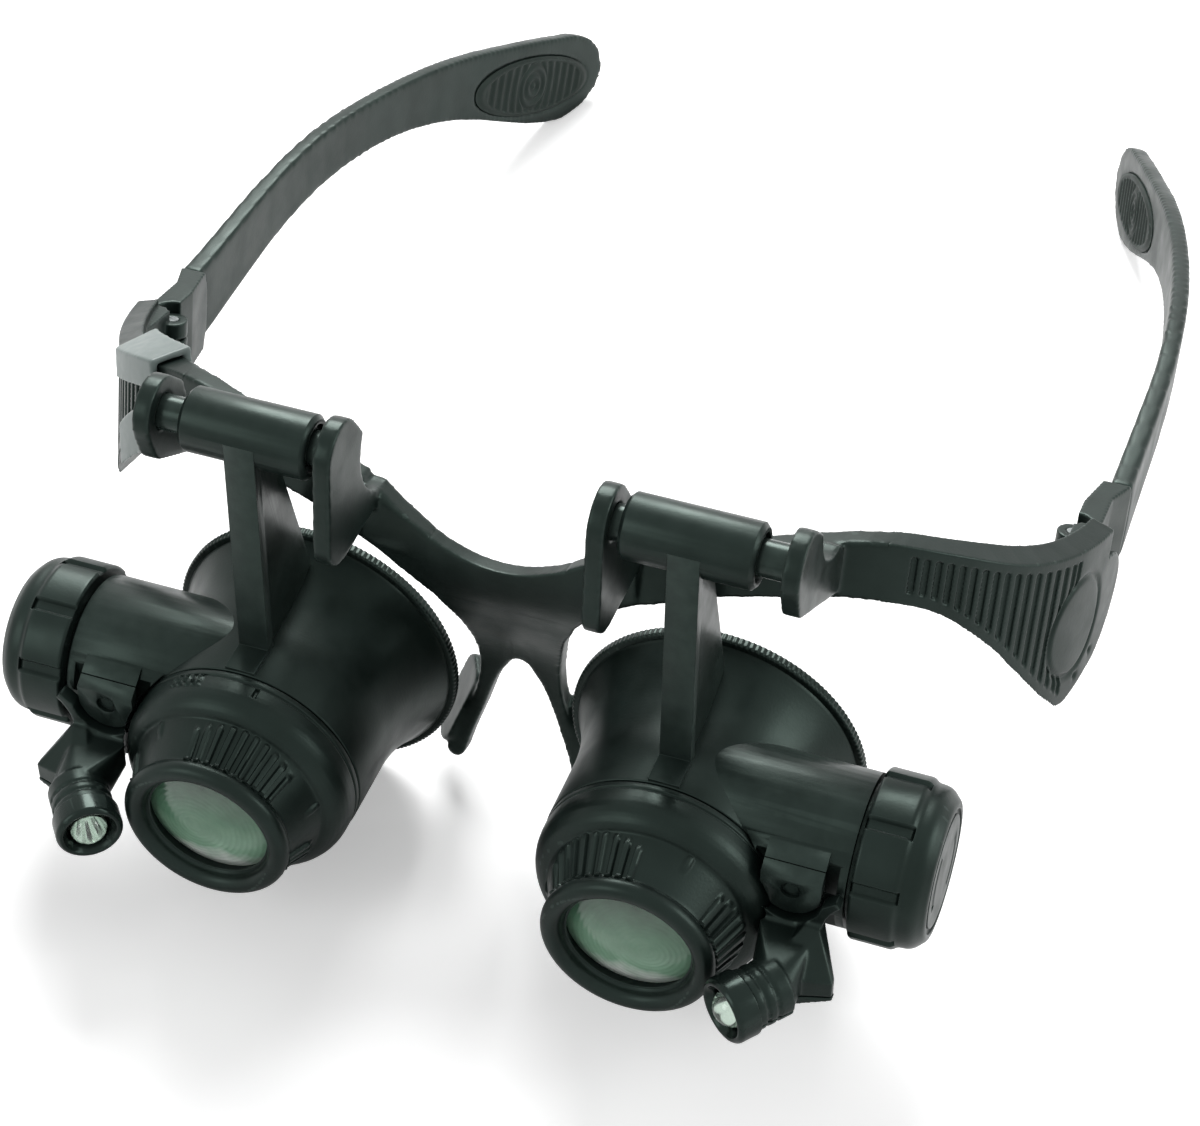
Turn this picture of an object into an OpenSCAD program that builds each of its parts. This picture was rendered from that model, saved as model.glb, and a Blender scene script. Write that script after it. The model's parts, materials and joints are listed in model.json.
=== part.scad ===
// Lighted magnifier worn as a spectacle frame. Millimetres, +Z up, front towards -Y.
// It stands on the rims of its two eyecups and on the tips of its temples.
// "left" is the wearer's left, at +X, and every "right" piece is its mirror image.

/* [Front frame] */
// Half width of the frame at its corners
frame_half_w = 77.2; // [73:0.2:82]
// Depth of the wrap from the widest point to the front
frame_depth = 60.5; // [54:0.5:66]
// Fullness of the wrap seen from above (2 is an ellipse)
wrap_power = 2.6; // [2.3:0.1:3]
// Thickness of the front bar
bar_t = 3.4; // [2.8:0.1:4]
// Thickness of the cheek that covers the hinge from outside
cheek_t = 1.6; // [1.2:0.1:1.8]
// Height of the bar's top edge above the hinge
bar_top = 9.9; // [8:0.1:12]
// Height of the bar's lower edge above the hinge
bar_bottom = 1.2; // [0:0.1:2]
// Depth of the pointed corner below the hinge
corner_drop = 24; // [20:0.5:28]
// Depth of the dip in the top edge at the bridge
bridge_dip = 4.5; // [3:0.1:6]
// Height of the nose arch below the hinge
arch_drop = 25.4; // [23:0.2:28]
// Depth of the nose legs below the hinge
leg_drop = 47.5; // [44:0.5:48]
// Thickness of the bridge and the nose legs
bridge_t = 3.2; // [2.6:0.1:4]
// Width of a nose leg seen from the front
leg_w = 2.3; // [1.8:0.1:2.8]
// Depth of a nose pad flap
flap_depth = 9; // [7:0.5:11]
// Thickness of a nose pad flap
flap_t = 1.8; // [1.4:0.1:2.4]
// Outward flare of the nose pad flaps in degrees
flap_flare = 24; // [15:1:30]

// Number of grip ribs on each corner of the frame
corner_ribs = 16; // [8:1:18]
// Width of the ribbed stretch, measured sideways
rib_span = 19; // [14:0.5:20]
// Depth of the grooves between the corner ribs
rib_depth = 0.5; // [0.2:0.1:0.6]

/* [Hinges and temples] */
// Distance of the hinge pin inside the frame's widest point
hinge_inset = 6.6; // [6.2:0.1:7.4]
// Radius of the hinge knuckles
knuckle_r = 2.3; // [2:0.1:2.6]
// Radius of the hinge pin
hinge_pin_r = 0.9; // [0.7:0.05:1.2]
// Thickness of the hinge block
block_t = 3.8; // [3.4:0.1:3.9]
// Length of the hinge block along its top edge
block_len = 14.6; // [13:0.2:16]
// Height of the hinge block
block_h = 13.4; // [12:0.2:15]
// Length of a temple from the hinge to the tip
temple_len = 142; // [130:1:150]
// Straight length before the temple curves inwards
temple_straight = 38; // [30:1:45]
// Angle the temple turns through in degrees
temple_turn = 19.5; // [16:0.5:22]
// Length of the curved stretch
temple_arc = 76; // [65:1:85]
// Thickness of the temple at its root
temple_root_t = 3.8; // [3.2:0.1:4.2]
// Thickness of the temple past its root
temple_t = 2.9; // [2.4:0.1:3.4]
// Height of the temple at its waist
waist_h = 9.2; // [8:0.2:11]
// Height of the paddle that rests behind the ear
paddle_h = 16.5; // [14:0.5:18]
// Rise of the temple's middle above its root
temple_rise = 10.6; // [8:0.2:12]
// Length of the ribbed grip pad
pad_len = 31; // [26:1:34]
// Height of the ribbed grip pad
pad_h = 11; // [9:0.5:12]
// Depth that the grip pad sits in the temple
pad_inset = 0.8; // [0.6:0.1:1]
// Height that the grip pad stands proud
pad_proud = 0.5; // [0.3:0.1:0.8]

/* [Brackets and shafts] */
// Distance of each optical axis from the middle plane
loupe_x = 30.7; // [30:0.1:33]
// Distance of the shaft in front of the hinge
shaft_fwd = 58.5; // [57:0.1:60]
// Height of the shaft above the hinge
shaft_up = 15.8; // [14.5:0.1:17]
// Radius of the shaft
shaft_r = 2.5; // [2.2:0.1:2.8]
// Thickness of a bracket plate
plate_t = 2.5; // [2:0.1:3]
// Radius of a bracket plate round the shaft
plate_r = 4.9; // [4.4:0.1:5.4]
// Drop of the inner plate's toe below the shaft
inner_drop = 12.5; // [10:0.5:14]
// Drop of the outer plate's toe below the shaft
outer_drop = 3; // [2:0.5:6]
// Room for the loupe to slide towards the nose
slide_in = 1.5; // [1:0.1:1.8]
// Room for the loupe to slide away from the nose
slide_out = 3.7; // [3:0.1:4.2]
// Length of the sleeve on the shaft
sleeve_l = 18.2; // [16:0.1:20]
// Outer radius of the sleeve
sleeve_r = 4.5; // [4.2:0.1:4.8]
// Wall of the friction bush inside the sleeve
bush_wall = 0.7; // [0.5:0.05:0.9]

/* [Loupe arm] */
// Drop from the shaft to the optical axis
axis_drop = 51.6; // [50:0.1:56]
// Distance of the shaft in front of the eyecup's rim
rim_back = 14.6; // [13:0.1:16]
// Width of the arm's front strip
arm_w = 4.4; // [3.6:0.1:5]
// Thickness of the arm's front strip
arm_t = 1.7; // [1.4:0.1:2.2]
// Width of the arm's web
web_w = 3.2; // [2.4:0.1:3.6]
// Distance of the arm's foot in front of the rim
foot_fwd = 20.6; // [19:0.1:22]
// Distance of the gusset corner in front of the rim
gusset_fwd = 4.6; // [3:0.1:7]

/* [Eyecup] */
// Radius of the eyecup's rim
rim_r = 21.8; // [20:0.1:22]
// Length of the rim ring
rim_l = 1.6; // [1.2:0.1:2]
// Radius of the eyecup's body
cup_r = 17; // [16.6:0.1:17.4]
// Length of the flared bell
flare_l = 16; // [13:0.5:18]
// Wall of the eyecup
cup_wall = 1.5; // [1.2:0.1:1.8]
// Distance of the eyepiece seam in front of the rim
seam_fwd = 25.5; // [24.5:0.1:26]

/* [Eyepiece] */
// Distance of the eyepiece's front in front of the rim
front_fwd = 40.9; // [40:0.1:42]
// Length of the eyepiece's ring before its shoulder
ring_l = 2.8; // [2.4:0.1:3.2]
// Radius of the spigot that the eyepiece turns on
spigot_r = 14.9; // [14.4:0.1:15.2]
// Length of the spigot
spigot_l = 4.4; // [3.5:0.1:5]
// Radius of the neck behind the flange
neck_r = 11.6; // [11:0.1:11.9]
// Outer radius of the front flange
flange_r = 12.3; // [12:0.1:12.5]
// Radius of the flange's rounded bead
bead_r = 1.5; // [1.3:0.1:1.7]
// Number of grip ribs in each patch
grip_count = 10; // [6:1:11]
// Angle from one grip rib to the next
grip_pitch = 7; // [6:0.5:8]
// Width of a grip rib
grip_w = 0.8; // [0.5:0.05:1]
// How far the left eyepiece is turned in its spigot
turn_left = 3; // [0:1:119]
// How far the right eyepiece is turned in its spigot
turn_right = 110; // [0:1:119]
// Radius of the clear aperture
aperture_r = 8.8; // [8.4:0.1:9]
// Radius of the lens
lens_r = 9.6; // [9.4:0.1:9.8]
// Thickness of the lens at its edge
lens_edge = 2; // [1.6:0.1:2.4]
// Bulge of each lens face
lens_bulge = 1.5; // [1.2:0.1:1.8]
// Depth of the lens edge behind the flange's front
lens_depth = 3.6; // [3.4:0.1:4]

/* [Battery holder] */
// Outer radius of the battery tube
tube_r = 10.8; // [10.6:0.1:11]
// Distance of the tube's axis in front of the rim
tube_fwd = 17.5; // [17:0.1:18]
// Height of the tube's axis above the optical axis
tube_up = 5.5; // [5:0.1:6]
// Distance of the tube's end from the optical axis
tube_end = 26.2; // [25.8:0.1:27]
// Radius of a button cell
cell_r = 8; // [7.8:0.1:8.1]
// Thickness of a button cell
cell_t = 2; // [1.6:0.1:2.2]
// Radius of the cap
cap_r = 11.9; // [11.6:0.1:12.2]
// Length of the cap
cap_l = 10.2; // [9:0.1:11]
// Gap between the tube and the cap
cap_gap = 0.7; // [0.5:0.1:1]
// Depth of the cap's hollow
cap_hollow = 5.2; // [5:0.1:5.6]
// Number of grip lugs round the cap
cap_lugs = 8; // [6:1:10]

/* [Lamp] */
// Distance of the lamp's pivot from the optical axis
pivot_x = 19.3; // [19:0.1:20]
// Height of the lamp's pivot above the optical axis
pivot_up = 7.9; // [7.4:0.1:8.4]
// Half width of the clevis tab
tab_r = 4.2; // [3.8:0.1:4.4]
// Thickness of the clevis tab
tab_t = 1.6; // [1.3:0.1:2]
// Thickness of the lamp arm's tongue
tongue_t = 1.5; // [1.2:0.1:1.6]
// Radius of the lamp's pivot pin
lamp_pin_r = 0.9; // [0.7:0.05:1.1]
// Outer radius of the lamp's barrel
barrel_r = 4.7; // [4.4:0.1:4.8]
// Length of the lamp's barrel
barrel_l = 9; // [8:0.1:10]
// Length of the lamp's bezel ring
bezel_l = 3.4; // [3:0.1:4]
// Inward aim of the lamp in degrees
lamp_aim = 38; // [36:1:42]
// Radius of the lamp's clear dome
led_r = 2.7; // [2.4:0.1:2.9]

/* [Clip] */
// Thickness of the clip on the frame's corner
clip_t = 1; // [0.8:0.1:1.4]
// Width of the clip along the frame
clip_w = 15; // [12:0.5:16]
// How far inside the frame's widest point the clip's middle sits
clip_inset = 16.2; // [15.2:0.2:17.2]
// How far the clip reaches down over the top edge
clip_over = 3.4; // [2.5:0.1:4]
// How far the clip's lower tab hangs below the frame
clip_hang = 4.2; // [3:0.1:5]

/* [Fits] */
// Radial clearance of a turning fit
turn_gap = 0.05; // [0.02:0.01:0.08]
// Gap between parts that move past each other
move_gap = 0.3; // [0.25:0.05:0.35]

/* [Hidden] */
$fn = 64;
plastic = "#262c2a";
eps = 0.01;

// Smooth curve through a list of points, n steps from one to the next
function between(a, b, c, d, t) =
    0.5 * (2 * b + (c - a) * t + (2 * a - 5 * b + 4 * c - d) * t * t + (3 * b - a - 3 * c + d) * t * t * t);
function smooth(p, n = 4) =
    let (m = len(p) - 1)
    [for (i = [0:m - 1], k = [0:n - 1])
        between(p[max(i - 1, 0)], p[i], p[i + 1], p[min(i + 2, m)], k / n), p[m]];
function backwards(p) = [for (i = [len(p) - 1:-1:0]) p[i]];

// Two circles and the tangents between them
module link(p, r, q, s) {
    d = norm(q - p);
    turn = acos((r - s) / d);
    aim = atan2(q[1] - p[1], q[0] - p[0]);
    translate(p) circle(r);
    translate(q) circle(s);
    polygon([p + r * [cos(aim + turn), sin(aim + turn)], p + r * [cos(aim - turn), sin(aim - turn)],
        q + s * [cos(aim - turn), sin(aim - turn)], q + s * [cos(aim + turn), sin(aim + turn)]]);
}

// A profile in the Y-Z plane, carried along X from x0 for a length l
module along_x(x0, l) translate([x0, 0, 0]) rotate([90, 0, 90]) linear_extrude(l) children();
// A profile in the X-Z plane, carried along Y from y0 for a length l
module along_y(y0, l) translate([0, y0 + l, 0]) rotate([90, 0, 0]) linear_extrude(l) children();

// Prisms that reach past the frame: upright ones from a plan, and ones through it from the front
past_x = frame_half_w + 20;
past_y = frame_depth + 10;
past_z = corner_drop + 16;
module upright() translate([0, 0, -past_z]) linear_extrude(2 * past_z) children();
module through() along_y(-past_y, 2 * past_y) children();

hinge_x = frame_half_w - hinge_inset;

// The shape of a temple seen from above. The centre line runs straight, turns through an
// arc and runs straight again; each entry of the path is [x, y, heading].
arc_r = temple_arc / (temple_turn * PI / 180);
temple_x0 = hinge_x + 4;
arc_end = [temple_x0 - arc_r * (1 - cos(temple_turn)), temple_straight + arc_r * sin(temple_turn)];
tip_run = (temple_len - arc_end[1]) / cos(temple_turn);
function temple_path(s) =
    s < temple_straight ? [temple_x0, s, 0] :
    s < temple_straight + temple_arc ?
        let (a = (s - temple_straight) / temple_arc * temple_turn)
        [temple_x0 - arc_r * (1 - cos(a)), temple_straight + arc_r * sin(a), a] :
        let (l = s - temple_straight - temple_arc)
        [arc_end[0] - l * sin(temple_turn), arc_end[1] + l * cos(temple_turn), temple_turn];
temple_s = temple_straight + temple_arc + tip_run;
function temple_edge(s, out) = let (p = temple_path(s)) [p[0] + out * cos(p[2]), p[1] + out * sin(p[2])];
function temple_half(s) = (temple_t + (temple_root_t - temple_t) * pow(max(0, 1 - s / 60), 2)) / 2;
temple_steps = [for (i = [0:22]) i / 22 * (temple_s + 4)];

// The shape of a temple seen from the side, as [share of the length, middle, half height]
root_mid = -block_h / 2 + 0.6;
temple_side = smooth([[0, root_mid, 6.4], [0.1, root_mid, 6.3],
    [0.24, root_mid + temple_rise * 0.4, 5.5],
    [0.42, root_mid + temple_rise * 0.86, waist_h / 2 + 0.2],
        [0.58, root_mid + temple_rise, waist_h / 2],
    [0.72, root_mid + temple_rise * 0.9, waist_h / 2 + 1.2],
    [0.86, root_mid + temple_rise * 0.54, paddle_h / 2 - 0.2],
        [0.92, root_mid + temple_rise * 0.42, paddle_h / 2]], 3);
paddle_mid = [temple_len * 0.92, root_mid + temple_rise * 0.42];
tip_round = [for (a = [75:-15:-75])
    [paddle_mid[0] + (temple_len - paddle_mid[0]) * cos(a), paddle_mid[1] + paddle_h / 2 * sin(a)]];
temple_outline = concat([for (p = temple_side) [p[0] * temple_len, p[1] + p[2]]], tip_round,
    [for (p = backwards(temple_side)) [p[0] * temple_len, p[1] - p[2]]]);

// Where the parts stand. The frame is drawn with its hinge at the origin, and is then set
// down with the shaft over the eyecups and tilted until the temple tips touch the table.
axis_up = rim_r;
shaft_z = rim_r + axis_drop;
function lowest(pitch) = min([for (p = temple_outline)
    shaft_z - (p[0] + shaft_fwd) * sin(pitch) + (p[1] - shaft_up) * cos(pitch)]);
function settle(low, high, n) = let (m = (low + high) / 2)
    n == 0 ? m : lowest(m) > 0 ? settle(m, high, n - 1) : settle(low, m, n - 1);
stand_pitch = settle(8, 24, 24);
led_front = [pivot_x - 4.3, pivot_up - 9, 45.2];
front_reach = led_front[2] + barrel_r * sin(lamp_aim) - rim_back;
rear_reach = max([for (p = temple_outline)
    (p[0] + shaft_fwd) * cos(stand_pitch) + (p[1] - shaft_up) * sin(stand_pitch)]);
shaft_y = (front_reach - rear_reach) / 2;
rim_y = shaft_y + rim_back;
module on_head() {
    translate([0, shaft_y, shaft_z]) rotate([-stand_pitch, 0, 0])
        translate([0, shaft_fwd, -shaft_up]) children();
}
// The optical axis of the left loupe: Z runs forward from the eyecup's rim, Y up, X outwards
module on_axis() translate([loupe_x, rim_y, axis_up]) rotate([90, 0, 0]) children();

bush_r = shaft_r + turn_gap + bush_wall;
bush_inset = 0.6;
bore_r = bush_r + turn_gap;
sleeve_x0 = loupe_x - sleeve_l / 2;
plate_in = sleeve_x0 - slide_in - plate_t;
plate_out = sleeve_x0 + sleeve_l + slide_out;
shaft_x0 = plate_in + 0.8;
shaft_l = plate_out + plate_t - plate_in - 1.6;

// Front frame

// Where the wrap is widest, behind the hinge pins
wrap_back = 15;
function wrap(cut, a) = let (p = 2 / wrap_power)
    [(frame_half_w - cut) * sign(cos(a)) * pow(abs(cos(a)), p),
        wrap_back - (frame_depth - cut) * pow(sin(a), p)];
wrap_steps = [for (i = [0:40]) 2 + i * 4.4];
module wrap_band(outer, inner) {
    polygon(concat([for (a = wrap_steps) wrap(outer, a)],
        [for (a = backwards(wrap_steps)) wrap(inner, a)]));
}
top_edge = smooth([[0, -bridge_dip], [7, 2 - bridge_dip], [13, 5.4 - bridge_dip], [20, bar_top - 4.8],
    [34, bar_top - 2], [frame_half_w * 0.63, bar_top], [frame_half_w * 0.77, bar_top - 2.4],
    [frame_half_w * 0.9, 3], [frame_half_w, 0.4], [frame_half_w + 2, 0.2]], 5);
low_edge = smooth([[frame_half_w - 0.4, -corner_drop + 4], [frame_half_w - 2, -corner_drop + 0.8],
    [frame_half_w - 3.2, -corner_drop], [frame_half_w - 4.6, -corner_drop + 2.6],
        [frame_half_w * 0.89, bar_bottom - 15],
    [frame_half_w * 0.83, bar_bottom - 8], [frame_half_w * 0.74, bar_bottom - 2],
        [frame_half_w * 0.61, bar_bottom],
    [38, bar_bottom - 0.7], [28, bar_bottom - 2.4], [20, bar_bottom - 5.2], [0, -bridge_dip - 2]], 5);
module front_outline() {
    for (m = [0, 1]) mirror([m, 0]) polygon(concat([[0, -bridge_dip]], top_edge,
        [[frame_half_w + 2, -4], [frame_half_w + 1.4, -14]], low_edge));
}
// The nose bridge, which leans back from the bar, and the two legs below it
lens_side = smooth([[20, bar_bottom - 5.2], [15.7, -6.8], [11.9, -10.7], [8.7, -16.2], [6.9, -22],
    [6.2, -27],
    [leg_w + 4.4, -32], [leg_w + 5.7, -37], [leg_w + 7.5, -42], [leg_w + 9, -leg_drop + 2]], 3);
arch_side = smooth([[8.6, -leg_drop + 1.4], [7.5, -42], [5.7, -36.5], [4.1, -31.4],
    [2.6, -arch_drop - 2.8], [0, -arch_drop]], 3);
module bridge_outline() {
    for (m = [0, 1]) mirror([m, 0]) {
        polygon(concat([[0, -bridge_dip]],
            smooth([[7, 2 - bridge_dip], [13, 5.4 - bridge_dip], [20, bar_top - 4.8]], 3),
            lens_side, arch_side));
        translate([(leg_w + 17.6) / 2, -leg_drop + 1.7]) circle((leg_w + 0.4) / 2);
    }
}
lean = smooth([[wrap_back - frame_depth, 12], [wrap_back - frame_depth, 0], [-43.6, -8], [-38.4, -15.5],
    [-32.4, -24],
    [-29.4, -33], [-28, -41], [-27.6, -leg_drop - 2]], 3);
module bridge() {
    intersection() {
        along_x(-24, 48) polygon(concat(lean, [for (p = backwards(lean)) [p[0] + bridge_t, p[1]]]));
        through() bridge_outline();
    }
}
module nose_flap() {
    translate([leg_w + 4.6, -28, -34]) rotate([0, -19, 0]) rotate([0, 0, -flap_flare])
        along_x(-flap_t / 2, flap_t) {
            link([1.5, 0], 1.5, [1.5, -10], 1.5);
            link([flap_depth - 4, -3], 4, [flap_depth - 4.5, -9], 4.5);
            polygon([[1.5, 1.5], [flap_depth - 4, 1], [flap_depth - 4, -13], [1.5, -11.5]]);
        }
}
// Grooves that leave the grip ribs standing, inside a border that follows the outline
groove_w = 0.95;
rib_x1 = frame_half_w - 3.4;
function rib_x(k) = rib_x1 - rib_span * pow(1 - k / corner_ribs, 1.3);
function turn_at(x) = acos(pow(x / frame_half_w, wrap_power / 2));
module rib_window() {
    intersection() {
        translate([0, -1.5]) front_outline();
        translate([0, 1.9]) front_outline();
    }
}
// Boss round the hinge's end, which the grooves stop short of
boss_mid = [-8.4, -11.5];
boss_r = 8;
module corner_grooves() {
    difference() {
        intersection() {
            for (k = [0:corner_ribs]) {
                at = wrap(0, turn_at(rib_x(k)));
                next = wrap(0, turn_at(rib_x(k) + 0.1));
                translate([at[0], at[1], -40]) rotate([0, 0, atan2(next[1] - at[1], next[0] - at[0])])
                    translate([-groove_w / 2, -2, 0]) cube([groove_w, 2 + rib_depth, 60]);
            }
            through() rib_window();
        }
        along_x(frame_half_w / 2, past_x) translate(boss_mid) scale([0.85, 1]) circle(boss_r);
    }
}
root_r = 3;
module bracket_plate(x, drop) {
    toe = [-shaft_fwd + 1, shaft_up - drop];
    root = [wrap(0, turn_at(x + plate_t))[1] + bar_t - root_r, (bar_top + bar_bottom) / 2 - 0.4];
    along_x(x, plate_t) {
        link([-shaft_fwd, shaft_up], plate_r, root, root_r);
        link([-shaft_fwd, shaft_up], plate_r, toe, plate_r - 0.6);
        link(toe, plate_r - 0.6, root, root_r);
        polygon([[-shaft_fwd, shaft_up], toe, root]);
    }
}
cheek_edge = smooth([[-14, -4.5], [-2, -4], [4, -5], [8, -8.5], [9, -12], [7, -16], [3, -19.5],
    [-3, -22.6],
    [-14, -corner_drop - 1]], 3);
knuckle_gap = knuckle_r + move_gap;
// Half of the seam between the frame and the hinge block, and the depth of the frame's end block
hinge_seam = 0.15;
end_depth = 9;
block_top = 0.6;
knuckle_z = [block_top - block_h + 0.6, block_top - block_h + 3.4, block_top - 4.6, block_top - 1.8];
module frame_corner() {
    // end block in front of the hinge, with its two knuckles
    difference() {
        intersection() {
            translate([0, 0, block_top - block_h]) linear_extrude(block_h)
                polygon([[hinge_x, -hinge_seam], [hinge_x, -end_depth],
                    [frame_half_w - bar_t - 0.2, -end_depth],
                    [frame_half_w - cheek_t - 0.4, -hinge_seam]]);
            through() front_outline();
        }
        translate([hinge_x, 0, knuckle_z[1] - 0.2])
            cylinder(r = knuckle_gap, h = knuckle_z[2] - knuckle_z[1] + 0.4);
    }
    for (k = [0, 2]) translate([hinge_x, 0, knuckle_z[k]])
        cylinder(r = knuckle_r, h = knuckle_z[k + 1] - knuckle_z[k]);
}
module front_frame() color(plastic) on_head() {
    difference() {
        union() {
            intersection() {
                upright() difference() {
                    wrap_band(0, bar_t);
                    translate([-past_x, -hinge_seam]) square([2 * past_x, past_y]);
                }
                through() front_outline();
            }
            intersection() {
                upright() wrap_band(0, cheek_t);
                through() front_outline();
                along_x(-past_x, 2 * past_x) polygon(cheek_edge);
            }
            bridge();
            for (m = [0, 1]) mirror([m, 0, 0]) {
                nose_flap();
                bracket_plate(plate_in, inner_drop);
                bracket_plate(plate_out, outer_drop);
                frame_corner();
            }
        }
        for (m = [0, 1]) mirror([m, 0, 0]) {
            translate([shaft_x0, -shaft_fwd, shaft_up]) rotate([0, 90, 0])
                cylinder(r = shaft_r, h = shaft_l);
            translate([hinge_x, 0, block_top - block_h - 1]) cylinder(r = hinge_pin_r, h = block_h + 3);
            corner_grooves();
            // room for the hinge block's knuckle
            translate([hinge_x, 0, knuckle_z[1] - 0.2])
                cylinder(r = knuckle_gap, h = knuckle_z[2] - knuckle_z[1] + 0.4);
        }
    }
}
module pivot_shaft() color("#20262a") on_head() {
    translate([shaft_x0, -shaft_fwd, shaft_up]) rotate([0, 90, 0]) cylinder(r = shaft_r, h = shaft_l);
}
module friction_bush() color("#2d3130") on_head() {
    translate([sleeve_x0 + bush_inset, -shaft_fwd, shaft_up]) rotate([0, 90, 0]) difference() {
        cylinder(r = bush_r, h = sleeve_l - 2 * bush_inset);
        translate([0, 0, -1]) cylinder(r = shaft_r + turn_gap, h = sleeve_l + 2);
    }
}
clip_x = frame_half_w - clip_inset;
// The clip hooks round the frame near its corner: a strip over each edge, a strip behind, a hook
// in front of the top edge and a tab that hangs in front of the bottom edge
module outline_grown(up, down) {
    translate([0, up]) front_outline();
    translate([0, -down]) front_outline();
}
module clip_band(near, far) {
    intersection() {
        upright() wrap_band(near, far);
        through() children();
    }
}
module clip_cut() {
    at = wrap(0, turn_at(clip_x));
    next = wrap(0, turn_at(clip_x + 0.1));
    low = -16;
    top = 14;
    translate([at[0], at[1], 0]) rotate([0, 0, atan2(next[1] - at[1], next[0] - at[0])]) rotate([90, 0, 0])
        translate([0, 0, -10]) linear_extrude(20) rotate(-14) {
            translate([-clip_w / 2, low + 3]) square([clip_w, top - low - 6]);
            translate([3 - clip_w / 2, low]) square([clip_w - 6, top - low]);
            for (x = [3 - clip_w / 2, clip_w / 2 - 3], y = [low + 3, top - 3]) translate([x, y]) circle(3);
        }
}
module corner_clip() color("#a9b5b2") on_head() mirror([1, 0, 0]) {
    gap = 0.3;
    back = bar_t + gap;
    intersection() {
        clip_cut();
        union() {
            clip_band(-gap - clip_t, back + clip_t) difference() {
                outline_grown(gap + clip_t, gap + clip_t);
                outline_grown(gap, gap);
            }
            clip_band(back, back + clip_t) outline_grown(gap + clip_t, gap + clip_t);
            clip_band(-gap - clip_t, -gap) difference() {
                translate([0, gap + clip_t]) front_outline();
                translate([0, -clip_over]) front_outline();
            }
            clip_band(-gap - clip_t, -gap) difference() {
                translate([0, -clip_hang]) front_outline();
                translate([0, clip_over]) front_outline();
            }
        }
    }
}

// Hinges and temples

seat_mid = [2, root_mid];
seat_r = 14;
module hinge_block() color(plastic) on_head() {
    difference() {
        union() {
            intersection() {
                translate([0, 0, block_top - block_h]) linear_extrude(block_h)
                    polygon([[hinge_x, hinge_seam], [hinge_x + block_t, hinge_seam], [hinge_x + block_t, 9],
                        [hinge_x + 5.6, block_len], [hinge_x + 5.6, 18], [hinge_x + 2, 18],
                            [hinge_x, 7]]);
                along_x(0, past_x) intersection() {
                    translate(seat_mid) circle(seat_r);
                    polygon(smooth([[-0.5, block_top - 0.2], [8, block_top], [18, block_top],
                        [18, -18], [9, -18],
                        [-0.5, root_mid - 4]], 1));
                }
            }
            translate([hinge_x, 0, knuckle_z[1] + 0.1])
                cylinder(r = knuckle_r, h = knuckle_z[2] - knuckle_z[1] - 0.2);
        }
        for (k = [0, 2]) translate([hinge_x, 0, knuckle_z[k] - (k == 0 ? 1 : 0.2)])
            cylinder(r = knuckle_gap, h = knuckle_z[k + 1] - knuckle_z[k] + 1 + (k == 0 ? 0 : 3));
        translate([hinge_x, 0, block_top - block_h - 1])
            cylinder(r = hinge_pin_r + turn_gap, h = block_h + 3);
    }
}
module hinge_pin() color("#8f9496") on_head() {
    translate([hinge_x, 0, knuckle_z[0]]) cylinder(r = hinge_pin_r, h = knuckle_z[3] - knuckle_z[0]);
}
module temple_body() {
    intersection() {
        translate([0, 0, -30]) linear_extrude(60)
            polygon(concat([for (s = temple_steps) temple_edge(s, temple_half(s))],
                [for (s = backwards(temple_steps)) temple_edge(s, -temple_half(s))]));
        along_x(-10, 110) polygon(temple_outline);
    }
}
pad_mid = [temple_len * 0.86, root_mid + temple_rise * 0.5];
module pad_outline(grow) {
    translate(pad_mid) rotate(-8) polygon([for (a = [0:9:351])
        [(pad_len / 2 + grow) * cos(a), (pad_h / 2 + grow) * sin(a)]]);
}
// The layer of the temple's inner side that the grip pad fills
module pad_layer(proud, grow) {
    intersection() {
        translate([0, 0, -30]) linear_extrude(60)
            polygon(concat([for (s = temple_steps) temple_edge(s, pad_inset - temple_half(s))],
                [for (s = backwards(temple_steps)) temple_edge(s, -proud - temple_half(s))]));
        along_x(-10, 110) pad_outline(grow);
    }
}
module temple() color(plastic) on_head() {
    difference() {
        temple_body();
        along_x(60, 30) translate(seat_mid) circle(seat_r);
        pad_layer(1, 0);
    }
}
module temple_pad() color("#1b201f") on_head() pad_layer(pad_proud, 0);

// Loupe arm and eyecup

cup_flare = [for (i = [0:10]) let (d = rim_l + i * (flare_l - rim_l) / 10)
    [cup_r + (rim_r - cup_r) * pow(1 - d / flare_l, 2.2), d]];
module cup_profile(cut) {
    polygon(concat([[0, rim_l]], [for (p = cup_flare) p - [cut, 0]],
        [[cup_r - cut, seam_fwd], [0, seam_fwd]]));
}
seat_fwd = seam_fwd - spigot_l - 0.2;
module eyecup() color(plastic) on_axis() {
    difference() {
        rotate_extrude() cup_profile(0);
        difference() {
            translate([0, 0, -eps]) rotate_extrude() cup_profile(cup_wall);
            translate([0, 0, seat_fwd - 1]) cylinder(r = rim_r, h = 20);
        }
        translate([0, 0, rim_l - 1]) cylinder(r = rim_r - 3.2, h = 1.2);
        cylinder(r = spigot_r - 1.6, h = seam_fwd);
        translate([0, 0, seat_fwd]) cylinder(r = spigot_r + turn_gap, h = spigot_l + 2);
    }
}
module eyecup_rim() color("#3a4240") on_axis() {
    difference() {
        cylinder(r = rim_r, h = rim_l);
        translate([0, 0, -1]) cylinder(r = rim_r - 2.6, h = rim_l + 2);
    }
}
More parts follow.
